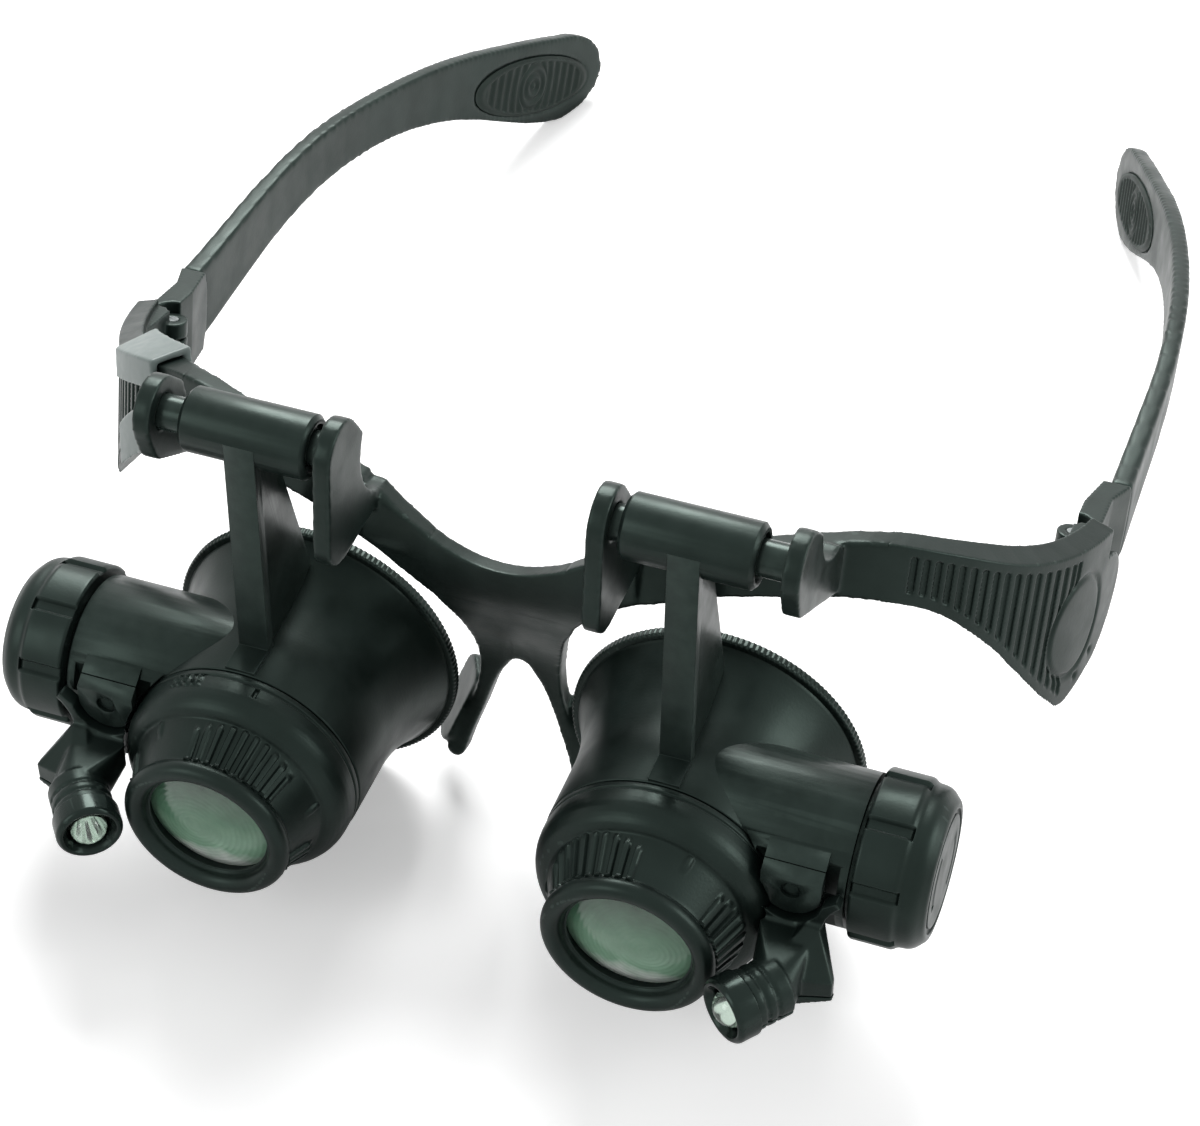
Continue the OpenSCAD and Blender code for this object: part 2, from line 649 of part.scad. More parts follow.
module loupe_arm() color(plastic) on_axis() {
    foot_up = cup_r + 1;
    difference() {
        union() {
            // flat strip from the foot to the eyepiece's seam
            translate([-arm_w / 2, 0, foot_fwd - 1])
                cube([arm_w, cup_r + 0.35, seam_fwd - foot_fwd + 0.8]);
            translate([-sleeve_l / 2, axis_drop, rim_back]) rotate([0, 90, 0]) rotate_extrude()
                polygon([[0, 0], [sleeve_r - 0.6, 0], [sleeve_r, 0.6], [sleeve_r, sleeve_l - 0.6],
                    [sleeve_r - 0.6, sleeve_l], [0, sleeve_l]]);
            rotate([0, -90, 0]) {
                translate([0, 0, -arm_w / 2]) linear_extrude(arm_w)
                    polygon([[rim_back + sleeve_r, axis_drop + 1], [foot_fwd, foot_up],
                        [foot_fwd, cup_r - 2],
                        [foot_fwd - arm_t, cup_r - 2], [foot_fwd - arm_t, foot_up],
                        [rim_back + sleeve_r - arm_t, axis_drop]]);
                translate([0, 0, -web_w / 2]) linear_extrude(web_w)
                    polygon([[rim_back + sleeve_r - arm_t, axis_drop], [foot_fwd - arm_t, foot_up],
                        [foot_fwd - arm_t, cup_r - 2], [gusset_fwd, cup_r - 2],
                            [gusset_fwd, cup_r + 3.6],
                        [rim_back - 2.2, axis_drop - 3]]);
            }
        }
        translate([-sleeve_l, axis_drop, rim_back]) rotate([0, 90, 0])
            cylinder(r = bore_r, h = 2 * sleeve_l);
        rotate_extrude() cup_profile(0);
    }
}

// Eyepiece, drawn as one profile from the spigot to the front flange

face_r = (lens_r * lens_r + lens_bulge * lens_bulge) / (2 * lens_bulge);
function lens_drop(r) = lens_bulge - (face_r - sqrt(face_r * face_r - r * r));
lens_front = front_fwd - lens_depth;
lens_back = lens_front - lens_edge;
seat_front = lens_front + lens_drop(aperture_r) + 0.02;
bead_mid = [flange_r - bead_r, front_fwd - bead_r];
shoulder_r = neck_r + 2.1;
shoulder = [for (a = [0:12:84]) [shoulder_r + (cup_r - 0.1 - shoulder_r) * cos(a),
    seam_fwd + ring_l + 4 * sin(a)]];
bead = [for (a = [-45:15:180]) bead_mid + bead_r * [cos(a), sin(a)]];
grip_z = [seam_fwd + ring_l + 3.4, front_fwd - 2.4];
// Three patches of grip ribs on the neck; each patch ends in an arch, with a short tick between
module grip_ribs() {
    intersection() {
        rotate_extrude() polygon([[neck_r - 0.6, grip_z[0] - 1], [shoulder_r + 0.9, grip_z[0]],
            [neck_r + 0.6, grip_z[1]], [neck_r - 0.6, grip_z[1] + 0.4]]);
        for (patch = [0:2]) rotate(patch * 120) {
            for (k = [0:grip_count - 1]) let (side = k - (grip_count - 1) / 2,
                arch = 2 * side / grip_count)
                rotate(side * grip_pitch)
                    translate([neck_r - 1, -grip_w / 2, grip_z[0] + 0.4 + 1.9 * arch * arch])
                    cube([5, grip_w, grip_z[1] - grip_z[0]]);
            rotate(60) translate([neck_r - 1, -grip_w / 2, grip_z[0] + 0.5]) cube([5, grip_w, 1.8]);
        }
    }
}
module eyepiece_barrel(turn) color(plastic) on_axis() {
    rotate(turn) grip_ribs();
    rotate_extrude() polygon(concat([[spigot_r, seam_fwd - spigot_l], [spigot_r, seam_fwd + 0.15],
        [cup_r - 0.1, seam_fwd + 0.15]], shoulder, [[neck_r, front_fwd - 2.9]], bead,
        [[aperture_r, front_fwd - 2.2], [aperture_r, seat_front], [lens_r + 0.05, seat_front],
        [lens_r + 0.05, seam_fwd + 6], [spigot_r - 1.5, seam_fwd + 1.5],
            [spigot_r - 1.5, seam_fwd - spigot_l]]));
}
module lens() color("#7f9a86", 0.5) on_axis() {
    intersection() {
        translate([0, 0, lens_back - 2]) cylinder(r = lens_r, h = lens_edge + 4);
        translate([0, 0, lens_front + lens_bulge - face_r]) sphere(face_r, $fn = 96);
        translate([0, 0, lens_back - lens_bulge + face_r]) sphere(face_r, $fn = 96);
    }
}
ring_in = lens_r - 1.2;
ring_front = lens_back - lens_drop(ring_in) - 0.02;
module lens_ring() color("#15191a") on_axis() difference() {
    translate([0, 0, ring_front - 2]) cylinder(r = lens_r, h = 2);
    translate([0, 0, ring_front - 3]) cylinder(r = ring_in, h = 4);
}

// Battery holder: a tube that stands out sideways, two cells, contacts and a turning cap

neck_out = cap_r - 2.2;
cell_bore = cell_r + 0.2;
neck_end = tube_end + cap_gap + cap_hollow - 0.4;
cells_x = neck_end - 2 * cell_t - 0.4;
pocket_x = cells_x - 3.6;
flat_fwd = tube_fwd + cell_bore + 0.7;
tab_fwd = flat_fwd + 0.1 + tongue_t + 0.1;
module across(x0) translate([x0, tube_up, tube_fwd]) rotate([0, 90, 0]) children();
module battery_tube() color(plastic) on_axis() {
    difference() {
        union() {
            across(2) cylinder(r = tube_r, h = tube_end - 2);
            across(2) cylinder(r = neck_out - turn_gap, h = neck_end - 2);
            // root of the clevis tab
            translate([pivot_x - tab_r, pivot_up + tab_r - 0.7, flat_fwd - 4])
                cube([2 * tab_r, 1.4, 4.1 + tongue_t + 0.1]);
            translate([0, 0, tab_fwd]) linear_extrude(tab_t) {
                translate([pivot_x, pivot_up]) circle(tab_r);
                translate([pivot_x - tab_r, pivot_up]) square([2 * tab_r, tab_r + 0.7]);
            }
        }
        // the flat that the lamp arm's tongue turns on
        translate([pivot_x - tab_r - 1.6, pivot_up - 20, flat_fwd])
            cube([2 * tab_r + 3.2, 20 + tab_r - 0.7, tab_fwd - flat_fwd]);
        translate([pivot_x - tab_r - 1.6, pivot_up - 20, flat_fwd])
            cube([2 * tab_r + 3.2, 20 - tab_r - 0.2, 6]);
        translate([pivot_x, pivot_up, flat_fwd - 3]) cylinder(r = lamp_pin_r, h = 10);
        translate([pivot_x, pivot_up, tab_fwd + tab_t - 0.7]) cylinder(r = lamp_pin_r + 0.5, h = 3);
        across(pocket_x) cylinder(r = cell_bore, h = 30);
        rotate_extrude() cup_profile(0);
        // room for the eyepiece's ring to turn
        translate([0, 0, seam_fwd]) cylinder(r = cup_r + move_gap, h = ring_l + 3);
        translate([0, 0, -40]) cylinder(r = 60, h = 40);
    }
}
module button_cells() color("#b9bcbe") on_axis() {
    for (k = [0, 1]) across(cells_x + k * cell_t) {
        cylinder(r = cell_r - 0.6, h = cell_t - 0.05);
        translate([0, 0, 0.3]) cylinder(r = cell_r, h = cell_t - 0.35);
    }
}
module cell_contact() color("#b59a55") on_axis() {
    across(pocket_x) {
        cylinder(r = cell_r - 2, h = 0.4);
        for (k = [0:2]) translate([0, 0, 0.4 + k]) cylinder(r = 4 - k, h = 1);
        translate([0, 0, 3.4]) cylinder(r = 1.2, h = cells_x - pocket_x - 3.4);
    }
}
cap_x = tube_end + cap_gap;
lug_w = 2 * PI * cap_r / cap_lugs - 1.6;
module battery_cap() color(plastic) on_axis() across(cap_x) {
    difference() {
        union() {
            rotate_extrude() polygon(concat([[0, 0], [cap_r - 0.9, 0], [cap_r - 0.6, 0.6]],
                [for (a = [0:15:90]) [cap_r - 2.3 + 1.7 * cos(a), cap_l - 1.7 + 1.7 * sin(a)]],
                    [[0, cap_l]]));
            intersection() {
                for (k = [1:cap_lugs]) rotate(k * 360 / cap_lugs)
                    translate([cap_r - 2, -lug_w / 2, 0]) cube([2, lug_w, cap_l - 4.4]);
                cylinder(r = cap_r, h = cap_l);
            }
        }
        translate([0, 0, -1]) cylinder(r = neck_out, h = cap_hollow + 1);
        // ring groove on the outer face
        translate([0, 0, cap_l - 0.4]) difference() {
            cylinder(r = cap_r - 3.2, h = 1);
            translate([0, 0, -1]) cylinder(r = cap_r - 4, h = 3);
        }
    }
}
module cap_contact() color("#c2c5c7") on_axis() across(cap_x + cap_hollow - 0.35) {
    cylinder(r = cell_r - 1, h = 0.35);
}

// Lamp: a pivoted arm of two shells, a bezel and a clear dome

module on_lamp() translate(led_front) rotate([0, -lamp_aim, 0]) children();
module lamp_shape() {
    barrel_back = front_fwd - 6;
    // run from below the tab into the barrel
    hull() {
        translate([pivot_x - 3.4, pivot_up - 8.6, tab_fwd + 0.9]) cube([7.8, 3.8, 3]);
        on_lamp() translate([0, 0, -barrel_l]) cylinder(r = barrel_r - 0.5, h = 1.5, $fn = 32);
    }
    // fin on the outer side, from the ear down to its tip
    hull() {
        translate([pivot_x + 2.6, pivot_up - 6.9, tab_fwd + 0.9]) cube([2.2, 3.1, 2.6]);
        translate([pivot_x + 7.6, pivot_up - 11.4, barrel_back + 0.6]) cube([0.8, 3.4, 1.2]);
        translate([pivot_x - 1, pivot_up - 12.6, barrel_back + 0.2]) cube([3, 5.6, 3.6]);
    }
    on_lamp() translate([0, 0, -barrel_l]) cylinder(r = barrel_r - 0.3, h = barrel_l - bezel_l);
}
module lamp_wing() {
    translate([0, 0, tube_fwd + tube_r + move_gap]) linear_extrude(2.4) difference() {
        translate([pivot_x, pivot_up]) polygon(concat([[-3.9, -1.6], [-3.6, -8.4], [4.8, -8.4]],
            smooth([[4.9, -5], [5.3, -3], [6.1, -1.2], [7.3, 0.2]], 2), [[6.5, 1.2], [4.4, -0.6]]));
        translate([pivot_x, pivot_up]) circle(tab_r + move_gap);
    }
}
// Room for the eyepiece to turn beside the lamp
module eyepiece_room() rotate_extrude() {
    polygon(concat([[0, seam_fwd], [cup_r + move_gap, seam_fwd]],
        [for (p = shoulder) p + [move_gap, move_gap]],
        [[shoulder_r + 0.9, grip_z[0] + 1.3], [flange_r + move_gap, grip_z[1] + 0.3],
        [flange_r + move_gap, front_fwd - 1.2], [flange_r - 1, front_fwd + 0.2], [0, front_fwd + 0.2]]));
}
// The LED's bore, two ring grooves round the barrel and the room for the eyepiece
module lamp_cuts() {
    on_lamp() {
        translate([0, 0, -barrel_l - 1]) cylinder(r = led_r + 0.1, h = barrel_l + 2);
        for (z = [-5.2, -6.8]) translate([0, 0, z]) difference() {
            cylinder(r = barrel_r + 2, h = 0.5);
            translate([0, 0, -1]) cylinder(r = barrel_r - 0.6, h = 3);
        }
    }
    eyepiece_room();
}
// Everything below the seam between the lamp arm's two shells
module lower_half() translate([pivot_x - 20, pivot_up - 30, tab_fwd - 2]) rotate([-6, 0, 0])
    cube([40, 18, 40]);
module lamp_arm_upper() color(plastic) on_axis() {
    difference() {
        union() {
            difference() {
                union() {
                    lamp_shape();
                    lamp_wing();
                }
                lower_half();
            }
            translate([0, 0, flat_fwd + 0.1]) linear_extrude(tongue_t)
                link([pivot_x, pivot_up], 3.2, [pivot_x - 0.2, pivot_up - 7], 2.8);
            translate([pivot_x - 3, pivot_up - 10, flat_fwd + 0.1])
                cube([5.6, 4.6, tab_fwd - flat_fwd + 1]);
        }
        translate([pivot_x, pivot_up, flat_fwd - 3]) cylinder(r = lamp_pin_r + turn_gap, h = 6);
        lamp_cuts();
    }
}
module lamp_arm_lower() color(plastic) on_axis() {
    difference() {
        intersection() {
            lamp_shape();
            lower_half();
        }
        lamp_cuts();
    }
}
module lamp_pin() color("#8f9496") on_axis() {
    translate([pivot_x, pivot_up, flat_fwd - 3])
        cylinder(r = lamp_pin_r, h = tab_fwd + tab_t - flat_fwd + 2.5);
}
module lamp_bezel() color("#1b201f") on_axis() on_lamp() difference() {
    translate([0, 0, -bezel_l]) cylinder(r = barrel_r, h = bezel_l);
    translate([0, 0, -bezel_l - 1]) cylinder(r = led_r + 0.4, h = bezel_l + 2);
    translate([0, 0, -1]) cylinder(r1 = led_r + 0.4, r2 = barrel_r - 0.6, h = 1.001);
}
module led() color("#dfeee2", 0.6) on_axis() on_lamp() {
    translate([0, 0, -barrel_l + 1]) cylinder(r = led_r, h = barrel_l - led_r - 0.2);
    translate([0, 0, 0.8 - led_r]) sphere(led_r);
}

front_frame();
corner_clip();
pivot_shaft();  // pivot_shaft_left
mirror([1, 0, 0]) pivot_shaft();  // pivot_shaft_right
friction_bush();  // friction_bush_left
mirror([1, 0, 0]) friction_bush();  // friction_bush_right
loupe_arm();  // loupe_arm_left
mirror([1, 0, 0]) loupe_arm();  // loupe_arm_right
eyecup();  // eyecup_left
mirror([1, 0, 0]) eyecup();  // eyecup_right
eyecup_rim();  // eyecup_rim_left
mirror([1, 0, 0]) eyecup_rim();  // eyecup_rim_right
eyepiece_barrel(turn_left);  // eyepiece_barrel_left
mirror([1, 0, 0]) eyepiece_barrel(turn_right);  // eyepiece_barrel_right
lens();  // lens_left
mirror([1, 0, 0]) lens();  // lens_right
lens_ring();  // lens_ring_left
mirror([1, 0, 0]) lens_ring();  // lens_ring_right
battery_tube();  // battery_tube_left
mirror([1, 0, 0]) battery_tube();  // battery_tube_right
battery_cap();  // battery_cap_left
mirror([1, 0, 0]) battery_cap();  // battery_cap_right
button_cells();  // button_cells_left
mirror([1, 0, 0]) button_cells();  // button_cells_right
cell_contact();  // cell_contact_left
mirror([1, 0, 0]) cell_contact();  // cell_contact_right
cap_contact();  // cap_contact_left
mirror([1, 0, 0]) cap_contact();  // cap_contact_right
lamp_pin();  // lamp_pin_left
mirror([1, 0, 0]) lamp_pin();  // lamp_pin_right
lamp_arm_upper();  // lamp_arm_upper_left
mirror([1, 0, 0]) lamp_arm_upper();  // lamp_arm_upper_right
lamp_arm_lower();  // lamp_arm_lower_left
mirror([1, 0, 0]) lamp_arm_lower();  // lamp_arm_lower_right
lamp_bezel();  // lamp_bezel_left
mirror([1, 0, 0]) lamp_bezel();  // lamp_bezel_right
led();  // led_left
mirror([1, 0, 0]) led();  // led_right
hinge_block();  // hinge_block_left
mirror([1, 0, 0]) hinge_block();  // hinge_block_right
hinge_pin();  // hinge_pin_left
mirror([1, 0, 0]) hinge_pin();  // hinge_pin_right
temple();  // temple_left
mirror([1, 0, 0]) temple();  // temple_right
temple_pad();  // temple_pad_left
mirror([1, 0, 0]) temple_pad();  // temple_pad_right
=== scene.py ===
import json
import math

import bmesh
import bpy
import numpy as np
from mathutils import Matrix, Vector


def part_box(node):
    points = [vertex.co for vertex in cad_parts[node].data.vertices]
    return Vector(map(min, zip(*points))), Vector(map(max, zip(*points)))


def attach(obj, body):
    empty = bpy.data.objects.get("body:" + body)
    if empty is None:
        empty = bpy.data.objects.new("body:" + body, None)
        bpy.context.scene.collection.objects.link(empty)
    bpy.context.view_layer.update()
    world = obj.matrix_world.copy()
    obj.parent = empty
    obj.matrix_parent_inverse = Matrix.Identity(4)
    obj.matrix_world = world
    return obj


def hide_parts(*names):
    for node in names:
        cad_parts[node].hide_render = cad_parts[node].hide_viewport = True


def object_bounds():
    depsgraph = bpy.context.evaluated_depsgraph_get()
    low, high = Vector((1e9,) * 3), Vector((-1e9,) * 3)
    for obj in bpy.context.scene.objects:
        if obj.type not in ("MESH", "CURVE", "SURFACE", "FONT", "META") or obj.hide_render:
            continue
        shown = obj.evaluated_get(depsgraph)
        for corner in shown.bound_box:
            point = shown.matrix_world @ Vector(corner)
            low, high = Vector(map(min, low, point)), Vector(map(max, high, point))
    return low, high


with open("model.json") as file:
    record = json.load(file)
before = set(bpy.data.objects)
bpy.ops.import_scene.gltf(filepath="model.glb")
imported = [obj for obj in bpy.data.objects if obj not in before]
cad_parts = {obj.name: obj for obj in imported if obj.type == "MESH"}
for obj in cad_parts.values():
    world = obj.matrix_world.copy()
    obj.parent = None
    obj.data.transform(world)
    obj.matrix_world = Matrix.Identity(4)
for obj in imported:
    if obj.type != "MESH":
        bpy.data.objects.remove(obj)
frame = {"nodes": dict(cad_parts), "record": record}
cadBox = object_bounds()
mm = 0.001
sides = {"left": 1, "right": -1}
print("frame loaded:", len(frame["nodes"]), "nodes")


# Materials

def linearColor(hexText, alpha=1.0):  # sRGB hex to the linear colour that Blender's sockets hold
    channels = [int(hexText[i:i + 2], 16) / 255 for i in (1, 3, 5)]
    return [c / 12.92 if c <= 0.04045 else ((c + 0.055) / 1.055) ** 2.4 for c in channels] + [alpha]


# Adds a node. A setting is an attribute or a socket's name; links are (socket, output) pairs, and
# stops are (position, grey or colour) pairs for a ramp.
def addNode(tree, kind, links=(), stops=(), **settings):
    node = tree.nodes.new(kind)
    for key, value in settings.items():
        if hasattr(node, key):
            setattr(node, key, value)
        else:
            node.inputs[key.replace("_", " ")].default_value = value
    for socket, output in links:
        tree.links.new(output, node.inputs[socket])
    ramp = node.color_ramp.elements if stops else []
    for number, (position, color) in enumerate(stops):
        element = ramp[number] if number < len(ramp) else ramp.new(position)
        element.position = position
        element.color = color if isinstance(color, list) else [color, color, color, 1]
    return node


def startMaterial(name, **settings):
    material = bpy.data.materials.new(name)
    material.use_nodes = True
    tree = material.node_tree
    shader = tree.nodes["Principled BSDF"]
    for key, value in settings.items():
        shader.inputs[key.replace("_", " ")].default_value = value
    return material, tree, shader


noiseSpan = {"From_Min": 0.3, "From_Max": 0.7}  # nearly all of a noise texture's values lie between these
plasticLook = {"dark": "#0c1311", "mid": "#18201e", "rubbed": "#38433f", "sheen": "#d2f2e5",
               "specular": 0.28, "roughLow": 0.29, "roughHigh": 0.42, "cloudMm": 9.0, "patchMm": 2.5,
               "handlingMm": 5.0, "grainMm": 0.4, "grainDepth": 0.03, "grainStrength": 0.35,
               "cloudFrom": 0.35, "cloudTo": 0.68, "rubFrom": 0.515, "rubTo": 0.58}


# Injection-moulded plastic: a spark-eroded grain breaks up the gloss, the colour clouds a little, and
# handled edges are rubbed slightly paler in patches.
def mouldedPlastic(name, look):
    material, tree, shader = startMaterial(name, IOR=1.53, Specular_IOR_Level=look["specular"],
                                           Specular_Tint=linearColor(look["sheen"]))
    place = addNode(tree, "ShaderNodeTexCoord").outputs["Object"]
    clouds = addNode(tree, "ShaderNodeTexNoise", [("Vector", place)], Scale=1 / (look["cloudMm"] * mm),
                     Detail=3.0)
    tint = addNode(tree, "ShaderNodeValToRGB", [("Fac", clouds.outputs["Fac"])],
                   stops=[(look["cloudFrom"], linearColor(look["dark"])),
                          (look["cloudTo"], linearColor(look["mid"]))])
    surface = addNode(tree, "ShaderNodeNewGeometry")
    edge = addNode(tree, "ShaderNodeValToRGB", [("Fac", surface.outputs["Pointiness"])],
                   stops=[(look["rubFrom"], 0.0), (look["rubTo"], 1.0)])
    patches = addNode(tree, "ShaderNodeTexNoise", [("Vector", place)], Scale=1 / (look["patchMm"] * mm))
    rubs = addNode(tree, "ShaderNodeMath", [(0, edge.outputs["Color"]), (1, patches.outputs["Fac"])],
                   operation="MULTIPLY")
    color = addNode(tree, "ShaderNodeMix", [("Factor", rubs.outputs[0]), (6, tint.outputs["Color"])],
                    data_type="RGBA")
    color.inputs[7].default_value = linearColor(look["rubbed"])
    tree.links.new(color.outputs[2], shader.inputs["Base Color"])
    handling = addNode(tree, "ShaderNodeTexNoise", [("Vector", place)], Scale=1 / (look["handlingMm"] * mm),
                       Detail=4.0)
    gloss = addNode(tree, "ShaderNodeMapRange", [("Value", handling.outputs["Fac"])], **noiseSpan,
                    To_Min=look["roughLow"], To_Max=look["roughHigh"])
    tree.links.new(gloss.outputs[0], shader.inputs["Roughness"])
    grain = addNode(tree, "ShaderNodeTexNoise", [("Vector", place)], Scale=1 / (look["grainMm"] * mm),
                    Detail=1.0)
    bump = addNode(tree, "ShaderNodeBump", [("Height", grain.outputs["Fac"])],
                   Strength=look["grainStrength"], Distance=look["grainDepth"] * mm)
    tree.links.new(bump.outputs["Normal"], shader.inputs["Normal"])
    return material


# The colour stops hold the lens's green tint and a painted reflection: near-white low down for a painted
# glint, dark green high up.
lensLook = {"haze": [(0.06, "#f2fbf4"), (0.24, "#93bba0"), (0.60, "#668f74"), (1.0, "#2f4a3a")],
            "transmission": 0.25, "radiusMm": 9.6, "ringMm": 0.75, "ringDepth": 0.05,
            "ringMiddle": (0.25, -0.15, 0), "cloudScale": 2.2, "cloudShare": 0.4, "riseFrom": -0.2,
            "riseTo": 0.9}


# Pressed acrylic magnifier lens: greenish and partly clear, with a painted reflection in its colour that is
# darker at the top and a pale painted glint at its lower edge, and the faint turning rings of its mould.
# The UV map runs from -1 to 1 across the lens.
def acrylicLens(name, look):
    material, tree, shader = startMaterial(name, Roughness=0.05, IOR=1.49, Coat_Weight=0.6,
                                           Coat_Roughness=0.03, Transmission_Weight=look["transmission"])
    place = addNode(tree, "ShaderNodeUVMap", uv_map="across").outputs["UV"]
    split = addNode(tree, "ShaderNodeSeparateXYZ", [("Vector", place)])
    cloud = addNode(tree, "ShaderNodeTexNoise", [("Vector", place)], Scale=look["cloudScale"], Detail=3.0)
    # Painted reflection: the colour turns pale towards the lens's lower edge and darker towards its top.
    rise = addNode(tree, "ShaderNodeMapRange", [("Value", split.outputs["Y"])], From_Min=-1.0, From_Max=1.0,
                   To_Min=look["riseFrom"], To_Max=look["riseTo"])
    sway = addNode(tree, "ShaderNodeMath", [(0, cloud.outputs["Fac"]), (2, rise.outputs[0])],
                   operation="MULTIPLY_ADD")
    sway.inputs[1].default_value = look["cloudShare"]
    haze = addNode(tree, "ShaderNodeValToRGB", [("Fac", sway.outputs[0])],
                   stops=[(at, linearColor(tint)) for at, tint in look["haze"]])
    tree.links.new(haze.outputs["Color"], shader.inputs["Base Color"])
    offset = addNode(tree, "ShaderNodeVectorMath", [(0, place)], operation="SUBTRACT")
    offset.inputs[1].default_value = look["ringMiddle"]
    spread = addNode(tree, "ShaderNodeVectorMath", [(0, offset.outputs[0])], operation="LENGTH")
    rings = addNode(tree, "ShaderNodeMath", [(0, spread.outputs["Value"])], operation="MULTIPLY")
    rings.inputs[1].default_value = 2 * math.pi * look["radiusMm"] / look["ringMm"]
    wave = addNode(tree, "ShaderNodeMath", [(0, rings.outputs[0])], operation="SINE")
    bump = addNode(tree, "ShaderNodeBump", [("Height", wave.outputs[0])], Strength=0.25,
                   Distance=look["ringDepth"] * mm)
    tree.links.new(bump.outputs["Normal"], shader.inputs["Normal"])
    return material


# Metal with a fine directional grain that spreads the highlight one way; stretch is smallest along it.
def grainedMetal(name, color, roughness, grainMm, stretch, smoother=0.08, rougher=0.1):
    material, tree, shader = startMaterial(name, Base_Color=linearColor(color), Metallic=1.0)
    place = addNode(tree, "ShaderNodeTexCoord").outputs["Object"]
    scaled = addNode(tree, "ShaderNodeMapping", [("Vector", place)], Scale=stretch)
    lines = addNode(tree, "ShaderNodeTexNoise", [("Vector", scaled.outputs["Vector"])],
                    Scale=1 / (grainMm * mm), Detail=3.0)
    gloss = addNode(tree, "ShaderNodeMapRange", [("Value", lines.outputs["Fac"])], **noiseSpan,
                    To_Min=roughness - smoother, To_Max=roughness + rougher)
    tree.links.new(gloss.outputs[0], shader.inputs["Roughness"])
    return material


# A clear or frosted plastic; fine streaks in its gloss come from the mould.
def clearPlastic(name, color, transmission, roughness, ior, streakMm=1.6, smoother=0.9, rougher=1.15):
    material, tree, shader = startMaterial(name, Base_Color=linearColor(color), IOR=ior,
                                           Transmission_Weight=transmission)
    place = addNode(tree, "ShaderNodeTexCoord").outputs["Object"]
    streaks = addNode(tree, "ShaderNodeTexNoise", [("Vector", place)], Scale=1 / (streakMm * mm), Detail=3.0)
    gloss = addNode(tree, "ShaderNodeMapRange", [("Value", streaks.outputs["Fac"])], **noiseSpan,
                    To_Min=roughness * smoother, To_Max=roughness * rougher)
    tree.links.new(gloss.outputs[0], shader.inputs["Roughness"])
    return material


polishedLook = {**plasticLook, "roughLow": 0.18, "roughHigh": 0.28, "grainDepth": 0.006}
rubberLook = {**plasticLook, "dark": "#121614", "mid": "#1b201e", "roughLow": 0.50, "roughHigh": 0.64}
waxyLook = {**plasticLook, "roughLow": 0.26, "roughHigh": 0.36}
materials = {
    "abs": mouldedPlastic("blackAbsSparkEroded", plasticLook),  # satin black with a green-grey cast
    "gloss": mouldedPlastic("blackAbsPolishedMould", polishedLook),  # smoother turned faces
    "rubber": mouldedPlastic("softTouchTpe", rubberLook),  # matt grip pads
    "lens": acrylicLens("pressedAcrylicLens", lensLook),  # green-grey, partly clear, glossy
    "epoxy": clearPlastic("castEpoxyDome", "#e6f4ea", 0.94, 0.02, 1.54),  # clear, bright glints
    "clip": clearPlastic("frostedPolypropylene", "#6c7875", 0.0, 0.34, 1.49),  # mid grey, satin
    "nylon": mouldedPlastic("blackAcetal", waxyLook),  # waxy black
    "steel": grainedMetal("groundSteel", "#8b9090", 0.30, 0.3, (0.1, 1, 1)),
    "nickel": grainedMetal("nickelPlate", "#c6c8c8", 0.18, 0.5, (1, 1, 1)),
    "brass": grainedMetal("brassStrip", "#b9975a", 0.32, 0.4, (1, 1, 0.2)),
    "mirror": grainedMetal("vacuumPlatedCup", "#dfe6e1", 0.14, 0.5, (1, 1, 1)),
}
nodeFinish = {
    "corner_clip": "clip", "pivot_shaft": "gloss", "friction_bush": "nylon", "lens": "lens",
    "lens_ring": "gloss", "button_cells": "nickel", "cell_contact": "brass", "cap_contact": "nickel",
    "lamp_pin": "gloss", "lamp_bezel": "gloss", "led": "epoxy", "hinge_pin": "steel",
    "temple_pad": "rubber"}  # every other node is black plastic


def plainName(node):
    return node.removesuffix("_left").removesuffix("_right")


def giveFinish(mesh, node, finish=None):
    mesh.materials.clear()
    mesh.materials.append(materials[finish or nodeFinish.get(plainName(node), "abs")])


for nodeName, nodeObject in frame["nodes"].items():
    giveFinish(nodeObject.data, nodeName)
print("materials made:", len(materials))


# Shapes

def newPiece(name, mesh):
    piece = bpy.data.objects.new(name, mesh)
    bpy.context.scene.collection.objects.link(piece)
    return piece


# The piece rides on its node's body, takes its node's finish, and may stand for the node.
def finishPiece(piece, node, finish=None, replace=True):
    bodies = frame["record"]["behaviour"]["bodies"]
    giveFinish(piece.data, node, finish)
    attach(piece, next(body for body, nodes in bodies.items() if node in nodes))
    if replace:
        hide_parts(node)


# A mesh's points as rows of millimetres, and the way back.
def readPoints(mesh):
    points = np.zeros(len(mesh.vertices) * 3)
    mesh.vertices.foreach_get("co", points)
    return points.reshape(-1, 3) / mm


def writePoints(mesh, points):
    mesh.vertices.foreach_set("co", (points * mm).ravel())


mergeLook = {"doubles": 0.002, "sliver": 0.001, "tinyEdge": 0.02, "flatDegrees": 0.6}  # mm and degrees


